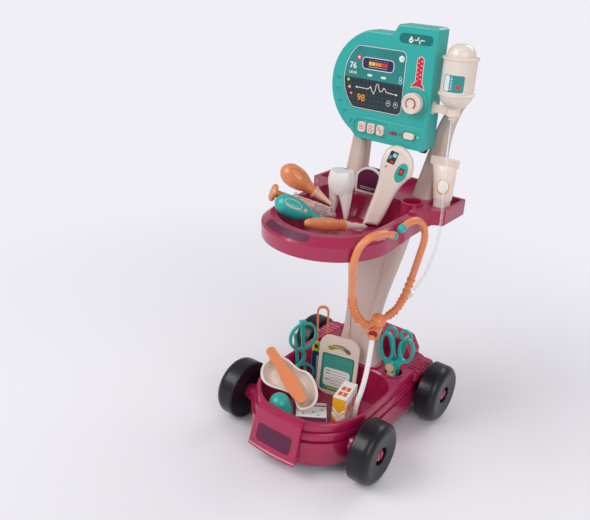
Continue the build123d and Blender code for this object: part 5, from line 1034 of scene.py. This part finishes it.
def grip_plate(name, node, start, end, share, size, finish):
    """An oval ring wrapped onto a handle, on the side that faces up and forward."""
    along = Vector(end) - Vector(start)
    place = Vector(start) + along * share
    view = Vector((0.35, -0.62, 0.7))
    out = (view - along.normalized() * view.dot(along.normalized())).normalized()
    sheet = sheet_at(place + out * 30.0, along, out)
    length, width = size
    rim = 0.9
    ring = [
        disc(0, 0, length, 40, width / length),
        disc(0, 0, length - rim, 40, (width - rim) / (length - rim)),
    ]
    inlay(name, ring, sheet, finish, onto=node, lift=0.3)
    return sheet


grip_plate("otoscope_plate", "otoscope", *otoscope_ends, 0.27, (11.5, 5.8), rust_plastic)
viewer_sheet = grip_plate("viewer_plate", "ear_viewer", *viewer_ends, 0.30, (11.5, 5.6), peach_plastic)
inlay(
    "viewer_button", [disc(17.0, -1.0, 2.2, 20)], viewer_sheet, peach_plastic,
    onto="ear_viewer", lift=0.6,
)

# Studio: a pale floor, soft lights and the camera

backdrop_color = (0.88, 0.86, 0.92, 1.0)


def seen_directly(tree):
    """1 for what the camera sees, straight or through clear plastic."""
    path = tree.nodes.new("ShaderNodeLightPath")
    first = maths(tree, "MAXIMUM")
    tree.links.new(path.outputs["Is Camera Ray"], first.inputs[0])
    tree.links.new(path.outputs["Is Transmission Ray"], first.inputs[1])
    return first


def studio_floor():
    bpy.ops.mesh.primitive_plane_add(size=8.0, location=(0, 0, -0.0002))
    floor = bpy.context.object
    floor.name = "studio_floor"
    material, tree, shader = new_material("studio_paper")
    shader.inputs["Base Color"].default_value = (0.86, 0.84, 0.89, 1.0)
    shader.inputs["Roughness"].default_value = 0.9
    shader.inputs["Specular IOR Level"].default_value = 0.1
    # Away from the cart, the paper fades into the backdrop's own pale colour
    place = tree.nodes.new("ShaderNodeTexCoord")
    away = tree.nodes.new("ShaderNodeVectorMath")
    away.operation = "LENGTH"
    tree.links.new(place.outputs["Object"], away.inputs[0])
    fade = tree.nodes.new("ShaderNodeMapRange")
    fade.inputs["From Min"].default_value = 0.30
    fade.inputs["From Max"].default_value = 0.95
    tree.links.new(away.outputs["Value"], fade.inputs["Value"])
    seen = seen_directly(tree)
    amount = maths(tree, "MULTIPLY")
    tree.links.new(fade.outputs["Result"], amount.inputs[0])
    tree.links.new(seen.outputs[0], amount.inputs[1])
    glow = tree.nodes.new("ShaderNodeEmission")
    glow.inputs["Color"].default_value = backdrop_color
    join = tree.nodes.new("ShaderNodeMixShader")
    tree.links.new(amount.outputs[0], join.inputs[0])
    tree.links.new(shader.outputs[0], join.inputs[1])
    tree.links.new(glow.outputs[0], join.inputs[2])
    tree.links.new(join.outputs[0], tree.nodes["Material Output"].inputs["Surface"])
    floor.data.materials.append(material)


def studio_world():
    world = bpy.data.worlds.new("studio_world")
    bpy.context.scene.world = world
    world.use_nodes = True
    tree = world.node_tree
    room = tree.nodes["Background"]
    room.inputs["Color"].default_value = (0.94, 0.94, 0.96, 1.0)
    room.inputs["Strength"].default_value = 0.45
    backdrop = tree.nodes.new("ShaderNodeBackground")
    backdrop.inputs["Color"].default_value = backdrop_color
    seen = seen_directly(tree)
    join = tree.nodes.new("ShaderNodeMixShader")
    tree.links.new(seen.outputs[0], join.inputs[0])
    tree.links.new(room.outputs[0], join.inputs[1])
    tree.links.new(backdrop.outputs[0], join.inputs[2])
    tree.links.new(join.outputs[0], tree.nodes["World Output"].inputs["Surface"])


def soft_box(name, place, aim, size, power):
    lamp = bpy.data.lights.new(name, "AREA")
    lamp.shape = "RECTANGLE"
    lamp.size = size[0]
    lamp.size_y = size[1]
    lamp.energy = power
    box = bpy.data.objects.new(name, lamp)
    box.location = place
    box.rotation_euler = (Vector(aim) - Vector(place)).to_track_quat("-Z", "Y").to_euler()
    bpy.context.scene.collection.objects.link(box)


def studio_camera():
    data = bpy.data.cameras.new("studio_camera")
    data.sensor_width = camera_sensor
    data.lens = camera_lens
    data.clip_start = 0.01
    data.clip_end = 50.0
    camera = bpy.data.objects.new("studio_camera", data)
    bpy.context.scene.collection.objects.link(camera)
    look = (camera_aim - camera_place).to_track_quat("-Z", "Y")
    camera.matrix_world = (
        Matrix.Translation(camera_place) @ look.to_matrix().to_4x4() @ Matrix.Rotation(camera_roll, 4, "Z")
    )
    bpy.context.scene.camera = camera


deselect_all()
studio_floor()
studio_world()
soft_box("key_light", (-0.9, -1.3, 1.6), (0, 0, 0.3), (1.2, 1.2), 22.0)
soft_box("fill_light", (1.5, -0.9, 1.1), (0, 0, 0.3), (1.2, 1.2), 12.0)
soft_box("rim_light", (0.3, 1.5, 1.5), (0, 0, 0.3), (1.4, 0.8), 10.0)
studio_camera()
bpy.context.scene.view_settings.view_transform = "Standard"
